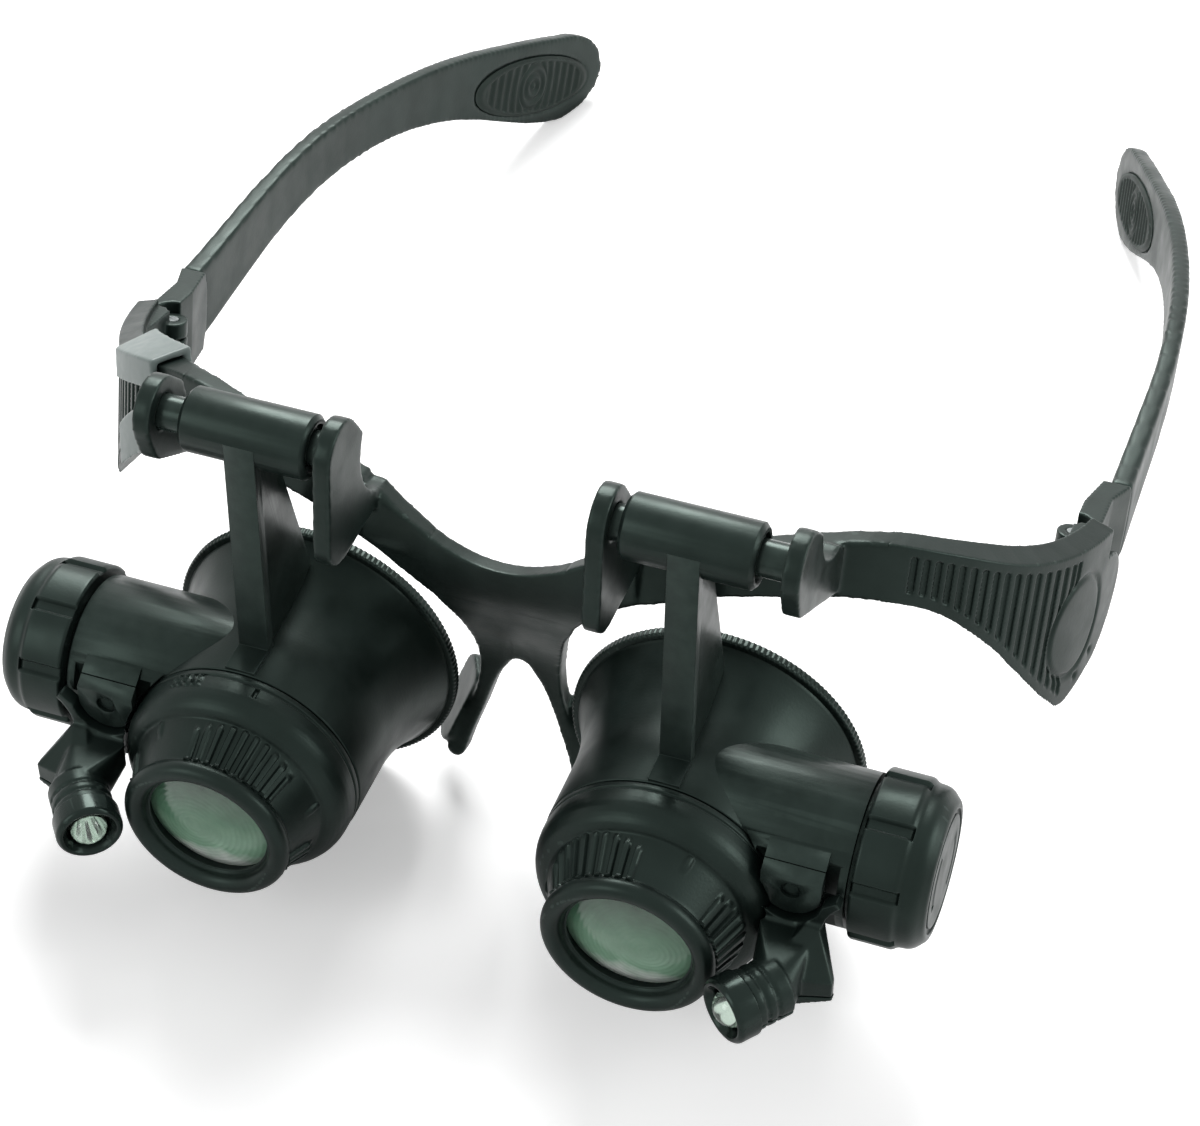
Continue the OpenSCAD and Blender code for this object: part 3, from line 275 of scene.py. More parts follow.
# A closed surface from a rows x columns x 3 grid of millimetre points. Columns wrap round, and so do
# rows unless told not to; doubled points at poles are merged and the faces are turned outwards.
def gridPiece(name, points, wrapRows=True, sharp=38, uv=None):
    rows, columns = points.shape[:2]
    index = np.arange(rows * columns).reshape(rows, columns)
    below = np.roll(index, -1, 0)
    quads = np.stack([index, np.roll(index, -1, 1), np.roll(below, -1, 1), below], -1)
    quads = quads[:rows if wrapRows else rows - 1].reshape(-1, 4)
    mesh = bpy.data.meshes.new(name)
    mesh.from_pydata((points.reshape(-1, 3) * mm).tolist(), [], quads.tolist())
    if uv is not None:
        layer = mesh.uv_layers.new(name="across")
        corner = np.zeros(len(mesh.loops), dtype=np.int32)
        mesh.loops.foreach_get("vertex_index", corner)
        layer.data.foreach_set("uv", uv.reshape(-1, 2)[corner].ravel().astype(np.float32))
    shape = bmesh.new()
    shape.from_mesh(mesh)
    bmesh.ops.remove_doubles(shape, verts=shape.verts, dist=mergeLook["doubles"] * mm)
    bmesh.ops.dissolve_degenerate(shape, dist=mergeLook["sliver"] * mm, edges=shape.edges)
    bmesh.ops.recalc_face_normals(shape, faces=shape.faces)
    shape.to_mesh(mesh)
    shape.free()
    mesh.shade_smooth()
    mesh.set_sharp_from_angle(angle=math.radians(sharp))
    return newPiece(name, mesh)


# Rounds the corners of a closed profile: each corner P becomes a quadratic curve that starts and ends
# its radius away from P on the two sides, or at most a share of the shorter side.
def roundProfile(corners, radius, steps=6, most=0.48):
    corners = np.array(corners, float)
    before, after = np.roll(corners, 1, 0) - corners, np.roll(corners, -1, 0) - corners
    lengths = np.hypot(*before.T), np.hypot(*after.T)
    cut = np.minimum(np.broadcast_to(radius, len(corners)), most * np.minimum(*lengths))
    start = corners + before / lengths[0][:, None] * cut[:, None]
    end = corners + after / lengths[1][:, None] * cut[:, None]
    t = np.linspace(0, 1, steps)[None, :, None]
    curves = (1 - t) ** 2 * start[:, None] + 2 * t * (1 - t) * corners[:, None] + t ** 2 * end[:, None]
    return curves.reshape(-1, 2)


# Adds points to a closed profile so that no step along it is longer than the given millimetres.
def fillProfile(profile, step, least=0.004):
    loop = np.vstack([profile, profile[:1]])
    along = np.concatenate([[0], np.cumsum(np.hypot(*np.diff(loop, axis=0).T))])
    extra = np.arange(0, along[-1], step)
    at = np.unique(np.round(np.concatenate([along[:-1], extra]), 3))
    at = at[np.concatenate([[True], np.diff(at) > least])]
    return np.stack([np.interp(at, along, loop[:, k]) for k in (0, 1)], -1)


def softStep(low, high, value):  # 0 below low, 1 above high, smooth in between
    t = np.clip((value - low) / (high - low), 0, 1)
    return t * t * (3 - 2 * t)


def fullTurn(columns):  # one row of evenly spaced angles
    return np.linspace(0, 2 * np.pi, columns, endpoint=False)[None]


# Turns (radius, forward) rows and an angle per column into points about the forward axis.
def turned(radius, forward, angles):
    return np.stack([radius * np.cos(angles), radius * np.sin(angles), forward + 0 * angles], -1)


# A turned piece for one side; place takes its points from the axis to the shared frame.
def addTurned(name, node, side, place, radius, forward, angles, finish=None, replace=True, **shape):
    piece = gridPiece(name + "_" + side, place(turned(radius, forward, angles), side), **shape)
    finishPiece(piece, node + "_" + side, finish, replace)


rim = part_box("eyecup_rim_left")
loupeMiddle = np.array([(rim[0][0] + rim[1][0]) / 2, rim[1][1], (rim[0][2] + rim[1][2]) / 2]) / mm


# Loupe millimetres (outwards, up, forward from the eyecup's rim) to the shared frame.
def onLoupe(points, side):
    x, up, forward = np.moveaxis(points, -1, 0)
    return np.stack([sides[side] * (loupeMiddle[0] + x), loupeMiddle[1] - forward, loupeMiddle[2] + up], -1)


# The battery tube's axis runs outwards: (forward, up, along) offsets from it become points.
tubeLook = {"up": 5.5, "forward": 17.5}


def onTube(points, side):
    ahead, upwards, along = np.moveaxis(points, -1, 0)
    return onLoupe(np.stack([along, tubeLook["up"] + upwards, tubeLook["forward"] + ahead], -1), side)


# The lamp's axis leans inwards from straight ahead by its aim in degrees.
lampLook = {"front": (15.0, -1.1, 45.2), "aim": 38.0}


def onLamp(points, side):
    aim = math.radians(lampLook["aim"])
    x, up, forward = np.moveaxis(points, -1, 0)
    front = lampLook["front"]
    return onLoupe(np.stack([front[0] + x * math.cos(aim) - forward * math.sin(aim), front[1] + up,
                             front[2] + x * math.sin(aim) + forward * math.cos(aim)], -1), side)


# The wrap of the frame seen from above is a superellipse that the CAD follows in flat steps.
wrapShape = {"halfWidth": 77.2, "depth": 60.5, "back": 15.0, "power": 2.6, "first": 2.0, "step": 4.4,
             "steps": 41, "fullWithin": 5.0, "noneBeyond": 9.0}  # mm, first and step in degrees
foldJoint = next(row for row in frame["record"]["behaviour"]["joints"] if row["name"] == "temple_fold_left")
frameUp = np.array(foldJoint["axis"])
frameBack = np.array([0, frameUp[2], -frameUp[1]])
pinMiddle = -6.7  # height of the temple joint in the frame's own upright direction, mm
frameStart = np.array([0, foldJoint["pos_m"][1], foldJoint["pos_m"][2]]) / mm - pinMiddle * frameUp


def alongFrame(points):  # how far points lie back and up in the frame's own directions, mm
    return (points - frameStart) @ frameBack, (points - frameStart) @ frameUp


# X is halfWidth * cos(turn) ** (2 / power), and how far back is back - depth * sin(turn) ** (2 / power).
def wrapCurve(turn, look=wrapShape):
    power = 2 / look["power"]
    return np.stack([look["halfWidth"] * np.sign(np.cos(turn)) * np.abs(np.cos(turn)) ** power,
                     look["back"] - look["depth"] * np.sin(turn) ** power], -1)


# Bows every flat step out to the true curve: along each chord the points move off it by a parabola
# whose height is the gap between the curve and the chord's middle.
def bowToWrap(mesh, look=wrapShape):
    points = readPoints(mesh)
    plan = np.stack([points[:, 0], alongFrame(points)[0]], -1)
    onCurve = wrapCurve(np.radians(look["first"] + look["step"] * np.arange(0, look["steps"] - 0.5, 0.5)))
    begin, middle, end = onCurve[0:-2:2], onCurve[1:-1:2], onCurve[2::2]
    nearest = np.argmin(np.hypot(*(plan[:, None] - (begin + end)[None] / 2).transpose(2, 0, 1)), 1)
    chord = (end - begin)[nearest]
    share = np.clip(((plan - begin[nearest]) * chord).sum(1) / (chord ** 2).sum(1), 0, 1)
    bulge = (middle - (begin + end) / 2)[nearest] * (4 * share * (1 - share))[:, None]
    off = np.hypot(*(plan - begin[nearest] - share[:, None] * chord).T)
    bulge = bulge * (1 - softStep(look["fullWithin"], look["noneBeyond"], off))[:, None]
    points = points + bulge[:, :1] * np.array([1, 0, 0]) + bulge[:, 1:] * frameBack
    points[:, 0] = np.clip(points[:, 0], cadBox[0][0] / mm, cadBox[1][0] / mm)
    writePoints(mesh, points)


# Smooth curve through points (Catmull-Rom), with a number of steps from one point to the next.
def throughPoints(points, steps):
    points = np.array(points, float)
    held = np.vstack([points[:1], points, points[-1:]])
    t = np.arange(steps)[:, None] / steps
    spans = [0.5 * (2 * b + (c - a) * t + (2 * a - 5 * b + 4 * c - d) * t ** 2
                    + (3 * b - a - 3 * c + d) * t ** 3)
             for a, b, c, d in zip(held, held[1:], held[2:], held[3:])]
    return np.vstack(spans + [points[-1:]])


bridgeLook = {
    "lean": [(-41.0, -28.0), (-33.0, -29.4), (-24.0, -32.4), (-15.5, -38.4), (-8.0, -43.6), (0.0, -45.5),
             (12.0, -45.5)],  # (up, back) points of the front
    "cadSteps": 3, "steps": 24, "leanHalf": 24, "bodyFrom": -12, "flushHalf": 12.5, "evenHalf": 13.5,
    "half": 17.0, "column": 0.5, "average": 2.6, "window": 12, "reach": 7.0, "archHalf": 2.6}


# The nose bridge leans back along a smooth curve that the CAD follows in chords, and what stands
# before it is laid onto it. The bridge's top line is evened by a running average over X, weighted by
# exp(-0.5 * (distance / average) ** 2), and its arch peaks in a parabola.
def easeBridge(mesh, look=bridgeLook):
    points = readPoints(mesh)
    x, half = points[:, 0], look["half"]
    back, up = alongFrame(points)
    curve = throughPoints(look["lean"], look["steps"])
    chords = throughPoints(look["lean"], look["cadSteps"])
    lean = np.interp(up, curve[:, 0], curve[:, 1])
    shift = np.where(abs(x) < look["leanHalf"], lean - np.interp(up, chords[:, 0], chords[:, 1]), 0)
    inFront = np.clip(lean - back - shift, 0, None) * (up > look["bodyFrom"])
    shift = shift + inFront * (1 - softStep(look["flushHalf"], half, abs(x)))
    grid = np.arange(-half, half + 0.01, look["column"])
    near = abs(x) < half
    column = np.rint((x[near] - grid[0]) / look["column"]).astype(int)
    top, bottom = np.full(len(grid), -99.0), np.full(len(grid), 99.0)
    np.maximum.at(top, column, up[near])
    np.minimum.at(bottom, column, up[near])
    spread = np.arange(-look["window"], look["window"] + 1)
    weights = np.exp(-0.5 * (spread * look["column"] / look["average"]) ** 2)
    padded = np.pad(top, look["window"], mode="reflect", reflect_type="odd")
    even = np.convolve(padded, weights / weights.sum(), "valid")
    topHere = np.interp(x, grid, top)
    rise = (np.interp(x, grid, even) - topHere) * (1 - softStep(look["evenHalf"], half, abs(x)))
    rise = rise * (1 - softStep(0, look["reach"], topHere - up))
    peak, foot = bottom[len(grid) // 2], np.interp(look["archHalf"], grid, bottom)
    bottomHere = np.interp(x, grid, bottom)
    arch = peak - (peak - foot) * (x / look["archHalf"]) ** 2 - bottomHere
    arch = arch * (abs(x) < look["archHalf"]) * (1 - softStep(0, look["reach"], up - bottomHere))
    writePoints(mesh, points + (rise + arch)[:, None] * frameUp + shift[:, None] * frameBack)


bossLook = {"middle": (-8.4, -11.5), "radii": (6.8, 8.0), "width": 0.42, "depth": 0.42, "beyondX": 60,
            "facing": (0.3, 0.7), "dimples": [(-6.0, -20.8), (-1.6, -18.6)], "dimpleWidth": 0.6,
            "dimpleDepth": 0.5}


# A shallow line is sunk round the oval boss of each corner, and two small dimples below it: along the
# surface's normal by depth * exp(-(distance / width) ** 2).
def sinkBoss(mesh, look=bossLook):
    normals = np.zeros(len(mesh.vertices) * 3)
    mesh.vertices.foreach_get("normal", normals)
    points, normals = readPoints(mesh), normals.reshape(-1, 3)
    place = np.stack(alongFrame(points), -1)
    facing = softStep(*look["facing"], normals[:, 0] * np.sign(points[:, 0]))
    outer = facing * (abs(points[:, 0]) > look["beyondX"])
    oval = (np.hypot(*((place - look["middle"]) / look["radii"]).T) - 1) * min(look["radii"])
    depth = look["depth"] * np.exp(-(oval / look["width"]) ** 2)
    for dimple in look["dimples"]:
        away = np.hypot(*(place - dimple).T)
        depth = depth + look["dimpleDepth"] * np.exp(-(away / look["dimpleWidth"]) ** 2)
    writePoints(mesh, points - normals * (depth * outer)[:, None])


# Hollows in the top edges of the bracket plates: rods across a plate, from one X to another, whose
# middles are given in the frame's own back and up directions.
hollowLook = {"radius": 9.0, "plates": [{"from": 17.5, "to": 20.2, "middle": (-43.2, 13.3)},
                                        {"from": 43.4, "to": 46.1, "middle": (-43.7, 19.6)}]}


def hollowRods(look=hollowLook, columns=72):
    turn = fullTurn(columns)[0]
    rods = []
    for plate in look["plates"]:
        circle = plate["middle"] + look["radius"] * np.stack([np.cos(turn), np.sin(turn)], -1)
        ring = frameStart + circle[:, :1] * frameBack + circle[:, 1:] * frameUp
        for sign in sides.values():
            ends = [ring + np.array([sign * plate[end], 0, 0]) for end in ("from", "to")]
            middles = [np.broadcast_to(one.mean(0), one.shape) for one in ends]
            grid = np.stack([middles[0], ends[0], ends[1], middles[1]])
            rods.append(gridPiece("rod", grid, wrapRows=False))
    return rods


# The node's own solid, trimmed by planes that are given as points in mm and normals. Tiny edges are
# merged, because they would hold the rounding back.
def trimmedMesh(node, planes, name):
    solid = bmesh.new()
    solid.from_mesh(frame["nodes"][node].data)
    bmesh.ops.remove_doubles(solid, verts=solid.verts, dist=mergeLook["doubles"] * mm)
    for point, normal in planes:
        cut = bmesh.ops.bisect_plane(solid, geom=solid.verts[:] + solid.edges[:] + solid.faces[:],
                                     plane_co=np.array(point) * mm, plane_no=normal, clear_outer=True)
        openEdges = [item for item in cut["geom_cut"] if isinstance(item, bmesh.types.BMEdge)]
        bmesh.ops.triangle_fill(solid, use_beauty=True, edges=openEdges)
    bmesh.ops.remove_doubles(solid, verts=solid.verts, dist=mergeLook["tinyEdge"] * mm)
    bmesh.ops.dissolve_limit(solid, angle_limit=math.radians(mergeLook["flatDegrees"]), verts=solid.verts,
                             edges=solid.edges)
    for face in solid.faces:
        face.smooth = True
    mesh = bpy.data.meshes.new(node + name)
    solid.to_mesh(mesh)
    solid.free()
    return mesh


# A copy with rounded edges, for a solid with thin pads or brims that remeshing would wear away.
def roundedCopy(node, width, planes=(), segments=2, angle=28):
    piece = newPiece(node + "Rounded", trimmedMesh(node, planes, "Rounded"))
    bevel = piece.modifiers.new("roundedEdges", "BEVEL")
    bevel.width = width * mm
    bevel.segments = segments
    bevel.limit_method = "ANGLE"
    bevel.angle_limit = math.radians(angle)
    bevel.use_clamp_overlap = True
    bevel.harden_normals = True
    bevel.miter_outer = "MITER_ARC"
    finishPiece(piece, node)


# A moulding with flowing blends: the solid is trimmed by planes and rods, remeshed evenly, bowed to
# the wrap where it follows that, relaxed, and drawn in where it needs room to turn past a neighbour.
def blendedCopy(node, cell, passes, inset=0.0, planes=(), rods=(), name="Blended", replace=True):
    rough = newPiece("rough", trimmedMesh(node, planes, name))
    for rod in rods:
        hollow = rough.modifiers.new("hollow", "BOOLEAN")
        hollow.operation = "DIFFERENCE"
        hollow.object = rod
    remesh = rough.modifiers.new("evenCells", "REMESH")
    remesh.mode = "VOXEL"
    remesh.voxel_size = cell * mm
    remesh.use_smooth_shade = True
    even = bpy.data.meshes.new_from_object(rough.evaluated_get(bpy.context.evaluated_depsgraph_get()))
    for helper in (rough, *rods):
        bpy.data.objects.remove(helper)
    if plainName(node) in ("front_frame", "corner_clip"):
        bowToWrap(even)
    if name == "Middle":
        easeBridge(even)
    if name.startswith("Corner"):
        sinkBoss(even)
    piece = newPiece(node + name, even)
    relax = piece.modifiers.new("relaxed", "SMOOTH")
    relax.factor = 0.5
    relax.iterations = passes
    if inset:
        drawIn = piece.modifiers.new("drawnIn", "DISPLACE")
        drawIn.mid_level = 0
        drawIn.strength = -inset * mm
    finishPiece(piece, node, replace=replace)


blendLook = {"temple": {"cell": 0.4, "passes": 14}, "hinge_block": {"cell": 0.22, "passes": 5},
             "corner_clip": {"cell": 0.26, "passes": 8},
             "lamp_arm_upper": {"cell": 0.22, "passes": 4, "inset": 0.14},
             "lamp_arm_lower": {"cell": 0.2, "passes": 4, "inset": 0.05}}  # cells and insets in mm
for nodeName in frame["nodes"]:
    if plainName(nodeName) in blendLook:
        blendedCopy(nodeName, **blendLook[plainName(nodeName)])
# The frame's ribbed corners get finer cells than its middle. The parts overlap between two values of X.
overlap = {"from": 51.2, "to": 52.8}
blendedCopy("front_frame", cell=0.34, passes=6, rods=hollowRods(), name="Middle",
            planes=[((sign * overlap["to"], 0, 0), (sign, 0, 0)) for sign in sides.values()])
for side, sign in sides.items():
    blendedCopy("front_frame", cell=0.19, passes=3, name="Corner_" + side, replace=False,
                planes=[((sign * overlap["from"], 0, 0), (-sign, 0, 0))])
# The root of the lamp's tab is trimmed by a plane that touches the battery tube.
tabLook = {"rise": 55.0, "tubeRadius": 10.85}
roundLook = {"arm": 0.4, "tube": 0.3, "tubeAngle": 60}  # mm, and the least angle of a rounded edge
tabRise = math.radians(tabLook["rise"])
for side in sides:
    touch = onTube(tabLook["tubeRadius"] * np.array([math.cos(tabRise), math.sin(tabRise), 0]), side)
    plane = (touch, (0, -math.cos(tabRise), math.sin(tabRise)))
    roundedCopy("loupe_arm_" + side, roundLook["arm"])
    roundedCopy("battery_tube_" + side, roundLook["tube"], [plane], angle=roundLook["tubeAngle"])
print("edges rounded")


# Eyepiece

eyepieceLook = {"seam": 25.5, "gap": 0.15, "cupRadius": 17.0, "clearance": 0.1, "ring": 2.8, "shoulder": 13.7,
                "shoulderRun": 4, "neck": 11.6, "front": 40.9, "flange": 12.3, "flangeRun": 2.9, "bead": 1.5,
                "lip": 2.2, "aperture": 8.8, "seat": 39.0, "bore": 9.65, "spigot": 14.9, "spigotLength": 4.4,
                "wall": 1.5, "boreBack": 6, "insideBack": 1.5, "groove": (1.0, 1.1, 1.35, 1.45),
                "grooveDepth": 0.25, "rounding": 0.22, "longestStep": 0.55,
                "turn": {"left": 3.0, "right": 110.0}}  # mm, and degrees of turn


def eyepieceProfile(look=eyepieceLook):
    seam, front, cup, ring = look["seam"], look["front"], look["cupRadius"] - look["clearance"], look["ring"]
    swing = np.radians(np.linspace(0, 84, 8))
    shoulder = np.stack([look["shoulder"] + (cup - look["shoulder"]) * np.cos(swing),
                         seam + ring + look["shoulderRun"] * np.sin(swing)], -1)
    sweep = np.radians(np.arange(-45, 181, 15))
    bead = np.array([look["flange"] - look["bead"], front - look["bead"]]) + look["bead"] * np.stack(
        [np.cos(sweep), np.sin(sweep)], -1)
    inside, spigotEnd = look["spigot"] - look["wall"], seam - look["spigotLength"]
    groove = [[cup - sunk, seam + at] for sunk, at in zip((0, look["grooveDepth"], look["grooveDepth"], 0),
                                                          look["groove"])]
    ringPoints = [[look["spigot"], spigotEnd], [look["spigot"], seam + look["gap"]],
                  [cup, seam + look["gap"]], *groove]
    backPoints = [[look["aperture"], front - look["lip"]], [look["aperture"], look["seat"]],
                  [look["bore"], look["seat"]], [look["bore"], seam + look["boreBack"]],
                  [inside, seam + look["insideBack"]], [inside, spigotEnd]]
    corners = np.vstack([ringPoints, shoulder, [[look["neck"], front - look["flangeRun"]]], bead, backPoints])
    return fillProfile(roundProfile(corners, look["rounding"], 4), look["longestStep"])


gripLook = {"patches": 3, "ribs": 10, "pitch": 7.0, "ribHeight": 0.5, "ribEdge": (-0.25, 0.35),
            "start": 3.75, "archRise": 1.9, "fade": 0.7, "stop": 2.3, "tickEdge": (57.6, 58.6),
            "tickFrom": (6.6, 7.2), "tickTo": (8.4, 8.9), "tickShare": 0.7, "neckFrom": 6,
            "skin": 0.3}  # pitch and tick edge in degrees, rib edge as a cosine, the rest in mm


# The neck's radius grows by a flat-topped cosine of the angle: one wave for each rib of the three grip
# patches, inside an arch-shaped window of the length, and a small index tick between the patches.
def gripHeight(radius, forward, turn, look=gripLook):
    seam, front, between = eyepieceLook["seam"], eyepieceLook["front"], 360 / look["patches"]
    within = (turn + between / 2) % between - between / 2  # degrees from the nearest patch's middle
    wave = softStep(*look["ribEdge"], np.cos(2 * np.pi * (within / look["pitch"] - 0.5)))
    patch = (np.abs(within) < look["pitch"] * look["ribs"] / 2) * wave
    rib = np.round(within / look["pitch"] - 0.5) + 0.5  # ribs from the patch's middle
    archTop = seam + eyepieceLook["ring"] + look["start"]
    start = archTop + look["archRise"] * rib ** 2 / (look["ribs"] / 2) ** 2
    onNeck = softStep(start, start + look["fade"], forward) * (forward < front - look["stop"])
    tickFrom, tickTo = np.array(look["tickFrom"]) + seam, np.array(look["tickTo"]) + seam
    tick = softStep(*look["tickEdge"], np.abs(within)) * softStep(*tickFrom, forward) * (
        1 - softStep(*tickTo, forward))
    outside = (radius > eyepieceLook["neck"] - look["skin"]) & (forward > seam + look["neckFrom"])
    return look["ribHeight"] * outside * np.maximum(patch * onNeck, look["tickShare"] * tick)


thumbLook = {"middle": 2.4, "beyondRadius": 15.5, "turn": -24, "halfTurn": 8, "halfLength": 1.1, "waves": 96,
             "lengthwise": 5.6, "level": -0.1, "height": 0.35, "notchTurn": 12, "notchHalfTurn": 0.9,
             "notchHalfLength": 0.8, "notchDepth": 0.4}  # turns in degrees from the top, the rest in mm


# The ring of one eyepiece has a small knurled thumb patch, raised where a sine of the angle times a
# sine of the length is above a level, and an index notch.
def thumbHeight(radius, forward, angles, look=thumbLook):
    fromTop = np.degrees(angles) - 90
    along = np.abs(forward - eyepieceLook["seam"] - look["middle"])
    checks = np.sin(np.radians(fromTop) * look["waves"]) * np.sin(forward * look["lengthwise"])
    knurl = (checks > look["level"]) * (np.abs(fromTop - look["turn"]) < look["halfTurn"]) * (
        along < look["halfLength"])
    notch = (np.abs(fromTop - look["notchTurn"]) < look["notchHalfTurn"]) * (along < look["notchHalfLength"])
    return (radius > look["beyondRadius"]) * (look["height"] * knurl - look["notchDepth"] * notch)


# A profile turned about the optical axis, with its grips and, on the right, the thumb patch.
def makeEyepiece(side, look=eyepieceLook, columns=400):
    profile = eyepieceProfile()
    radius, forward = profile[:, :1], profile[:, 1:]
    angles = fullTurn(columns)
    grown = radius + gripHeight(radius, forward, np.degrees(angles) - look["turn"][side])
    if side == "right":
        grown = grown + thumbHeight(radius, forward, angles)
    addTurned("eyepieceShell", "eyepiece_barrel", side, onLoupe, grown, forward, angles, sharp=50)


eyecupLook = {"rim": 21.8, "rimDepth": 1.6, "flare": 16.0, "throat": 17.0, "seam": 25.5, "wall": 1.5,
              "power": 2.2, "spigotBore": 14.95, "seat": 20.9, "seatThickness": 1, "window": 13.3,
              "chamfer": (0.2, 0.12), "lag": 0.01, "rounding": 0.12, "barWidth": 2.6, "barRounding": 0.45,
              "longestStep": 0.3, "teeth": 168, "toothHeight": 0.13, "toothColumns": 6, "milledFrom": 1.3,
              "milledFull": 0.4}  # lengths in mm


# The bell's outline is a flare that falls off as a power of the depth; the inside keeps one wall.
def makeEyecup(side, look=eyecupLook, columns=160):
    depth = np.linspace(look["rimDepth"], look["flare"], 24)
    flare = look["throat"] + (look["rim"] - look["throat"]) * (1 - depth / look["flare"]) ** look["power"]
    outer = np.stack([flare, depth], -1)
    inner = np.stack([flare - look["wall"], depth - look["lag"]], -1)[::-1]
    seatBack = look["seat"] - look["seatThickness"]
    inner = inner[inner[:, 1] < seatBack]
    front = [[look["throat"], look["seam"] - look["chamfer"][1]],
             [look["throat"] - look["chamfer"][0], look["seam"]], [look["spigotBore"], look["seam"]],
             [look["spigotBore"], look["seat"]], [look["window"], look["seat"]],
             [look["window"], seatBack], [look["throat"] - look["wall"], seatBack]]
    profile = roundProfile(np.vstack([outer, front, inner]), look["rounding"], 3)
    addTurned("eyecupBell", "eyecup", side, onLoupe, profile[:, :1], profile[:, 1:], fullTurn(columns),
              sharp=45)


# The rear ring: a rounded bar turned about the axis, its outer edge milled with fine teeth.
def makeEyecupRim(side, look=eyecupLook):
    rim, depth, inner = look["rim"], look["rimDepth"], look["rim"] - look["barWidth"]
    bar = roundProfile([[rim, 0], [rim, depth], [inner, depth], [inner, 0]], look["barRounding"], 6)
    profile = fillProfile(bar, look["longestStep"])
    radius, forward = profile[:, :1], profile[:, 1:]
    angles = fullTurn(look["teeth"] * look["toothColumns"])
    teeth = 0.5 + 0.5 * np.cos(angles * look["teeth"])
    milled = softStep(rim - look["milledFrom"], rim - look["milledFull"], radius)
    milledRadius = radius - look["toothHeight"] * teeth * milled
    addTurned("eyecupRimMilled", "eyecup_rim", side, onLoupe, milledRadius, forward, angles, sharp=60)


lensShape = {"radius": lensLook["radiusMm"], "bulge": 1.5, "edge": 2.0, "front": 37.3}


# Double-convex lens: each face's height is the sphere's, bulge minus the drop at that radius.
def makeLens(side, look=lensShape, columns=128):
    ball = (look["radius"] ** 2 + look["bulge"] ** 2) / (2 * look["bulge"])
    out = np.linspace(0, look["radius"], 34)
    height = look["bulge"] - ball + np.sqrt(ball ** 2 - out ** 2)
    radius = np.concatenate([out, out[::-1]])[:, None]
    forward = np.concatenate([look["front"] + height, look["front"] - look["edge"] - height[::-1]])[:, None]
    points = turned(radius, forward, fullTurn(columns))
    piece = gridPiece("lensPressed_" + side, onLoupe(points, side), wrapRows=False, sharp=50,
                      uv=points[..., :2] / look["radius"])
    finishPiece(piece, "lens_" + side)


for side in sides:
    makeEyepiece(side)
    makeEyecup(side)
    makeEyecupRim(side)
    makeLens(side)
print("loupes made")


# Battery cap

capLook = {"start": 26.9, "radius": 11.9, "length": 10.2, "hollow": 5.2, "bore": 9.7, "lipRound": 0.3,
           "step": 0.55, "stepRun": 0.7, "crown": (0.7, 1.6), "faceEdge": 2.3, "ringGroove": (3.2, 3.95),
           "ringDepth": 0.35, "ringSlope": 0.05, "pole": 0.02, "lugs": 8, "lugDepth": 0.6, "lugEnd": 6.0,
           "lugSkin": 0.45, "lugRun": 0.6, "grooveWidth": 1.7, "grooveEase": 0.25, "arcRadius": 5.6,
           "arcHalfWidth": 0.28, "arcDepth": 0.25, "arcTurn": 0.4, "arcGap": 0.1, "faceSkin": 0.1,
           "longestStep": 0.4}  # lengths in mm, arcTurn in radians


# A cup turned about the tube's axis. The wall drops by the lug depth in a groove between each two lugs,
# and the outer face has a ring groove and two arc grooves, where cos(2 * angle) is above the arc gap.
def makeCap(side, look=capLook, columns=480):
    r, length, (ringFrom, ringTo) = look["radius"], look["length"], look["ringGroove"]
    # each row is a corner's radius, its place along the axis and its rounding
    corners = np.array([
        [look["bore"], 0, 0.15], [r - look["lipRound"], 0, 0.2], [r, look["lipRound"], 0.2],
        [r, look["lugEnd"], 0.35], [r - look["step"], look["lugEnd"] + look["stepRun"], 0.4],
        [r - look["crown"][0], length - look["crown"][1], 1.6], [r - look["faceEdge"], length, 0.9],
        [r - ringFrom, length, 0.1], [r - ringFrom - look["ringSlope"], length - look["ringDepth"], 0.08],
        [r - ringTo, length - look["ringDepth"], 0.08], [r - ringTo - look["ringSlope"], length, 0.1],
        [look["pole"], length, 0.01], [look["pole"], look["hollow"], 0.01],
        [look["bore"], look["hollow"], 0.1]])
    profile = fillProfile(roundProfile(corners[:, :2], corners[:, 2], 6), look["longestStep"])
    radius, along = profile[:, :1], profile[:, 1:]
    angles = fullTurn(columns)
    pitch = 2 * np.pi / look["lugs"]
    fromGroove = np.abs((angles + pitch / 2 - np.pi / look["lugs"]) % pitch - pitch / 2) * r  # mm
    groove = 1 - softStep(look["grooveWidth"] / 2 - look["grooveEase"],
                          look["grooveWidth"] / 2 + look["grooveEase"], fromGroove)
    onWall = (radius > r - look["lugSkin"]) * (along < look["lugEnd"] + look["lugRun"])
    onArc = (np.abs(radius - look["arcRadius"]) < look["arcHalfWidth"]) * (
        np.cos(2 * (angles - look["arcTurn"])) > look["arcGap"])
    sunk = look["arcDepth"] * onArc * (along > length - look["faceSkin"])
    addTurned("batteryCap", "battery_cap", side, onTube, radius - look["lugDepth"] * groove * onWall,
              along - sunk + look["start"], angles, sharp=40)


for side in sides:
    makeCap(side)
print("battery caps made")


# Lamp

ledLook = {"radius": 2.7, "length": 8.0, "tip": 0.8, "foot": 0.1}  # mm, from the bezel's front
cupLook = {"bottom": -3.8, "floor": -3.4, "chip": 0.5, "chipSlope": 0.05, "chipTop": -3.05,
           "cone": (0.9, -3.1), "edge": (2.1, -1.3), "radius": 2.35, "lipTop": -1.25, "scallops": 8,
           "scallop": 0.05, "scallopFrom": 0.8, "scallopTo": 2.2}
bezelLook = {"radius": 4.7, "depth": 3.4, "clearance": 0.4, "funnel": -1.1, "lip": 0.5, "lipInner": 0.9,
             "lipDip": 0.05}


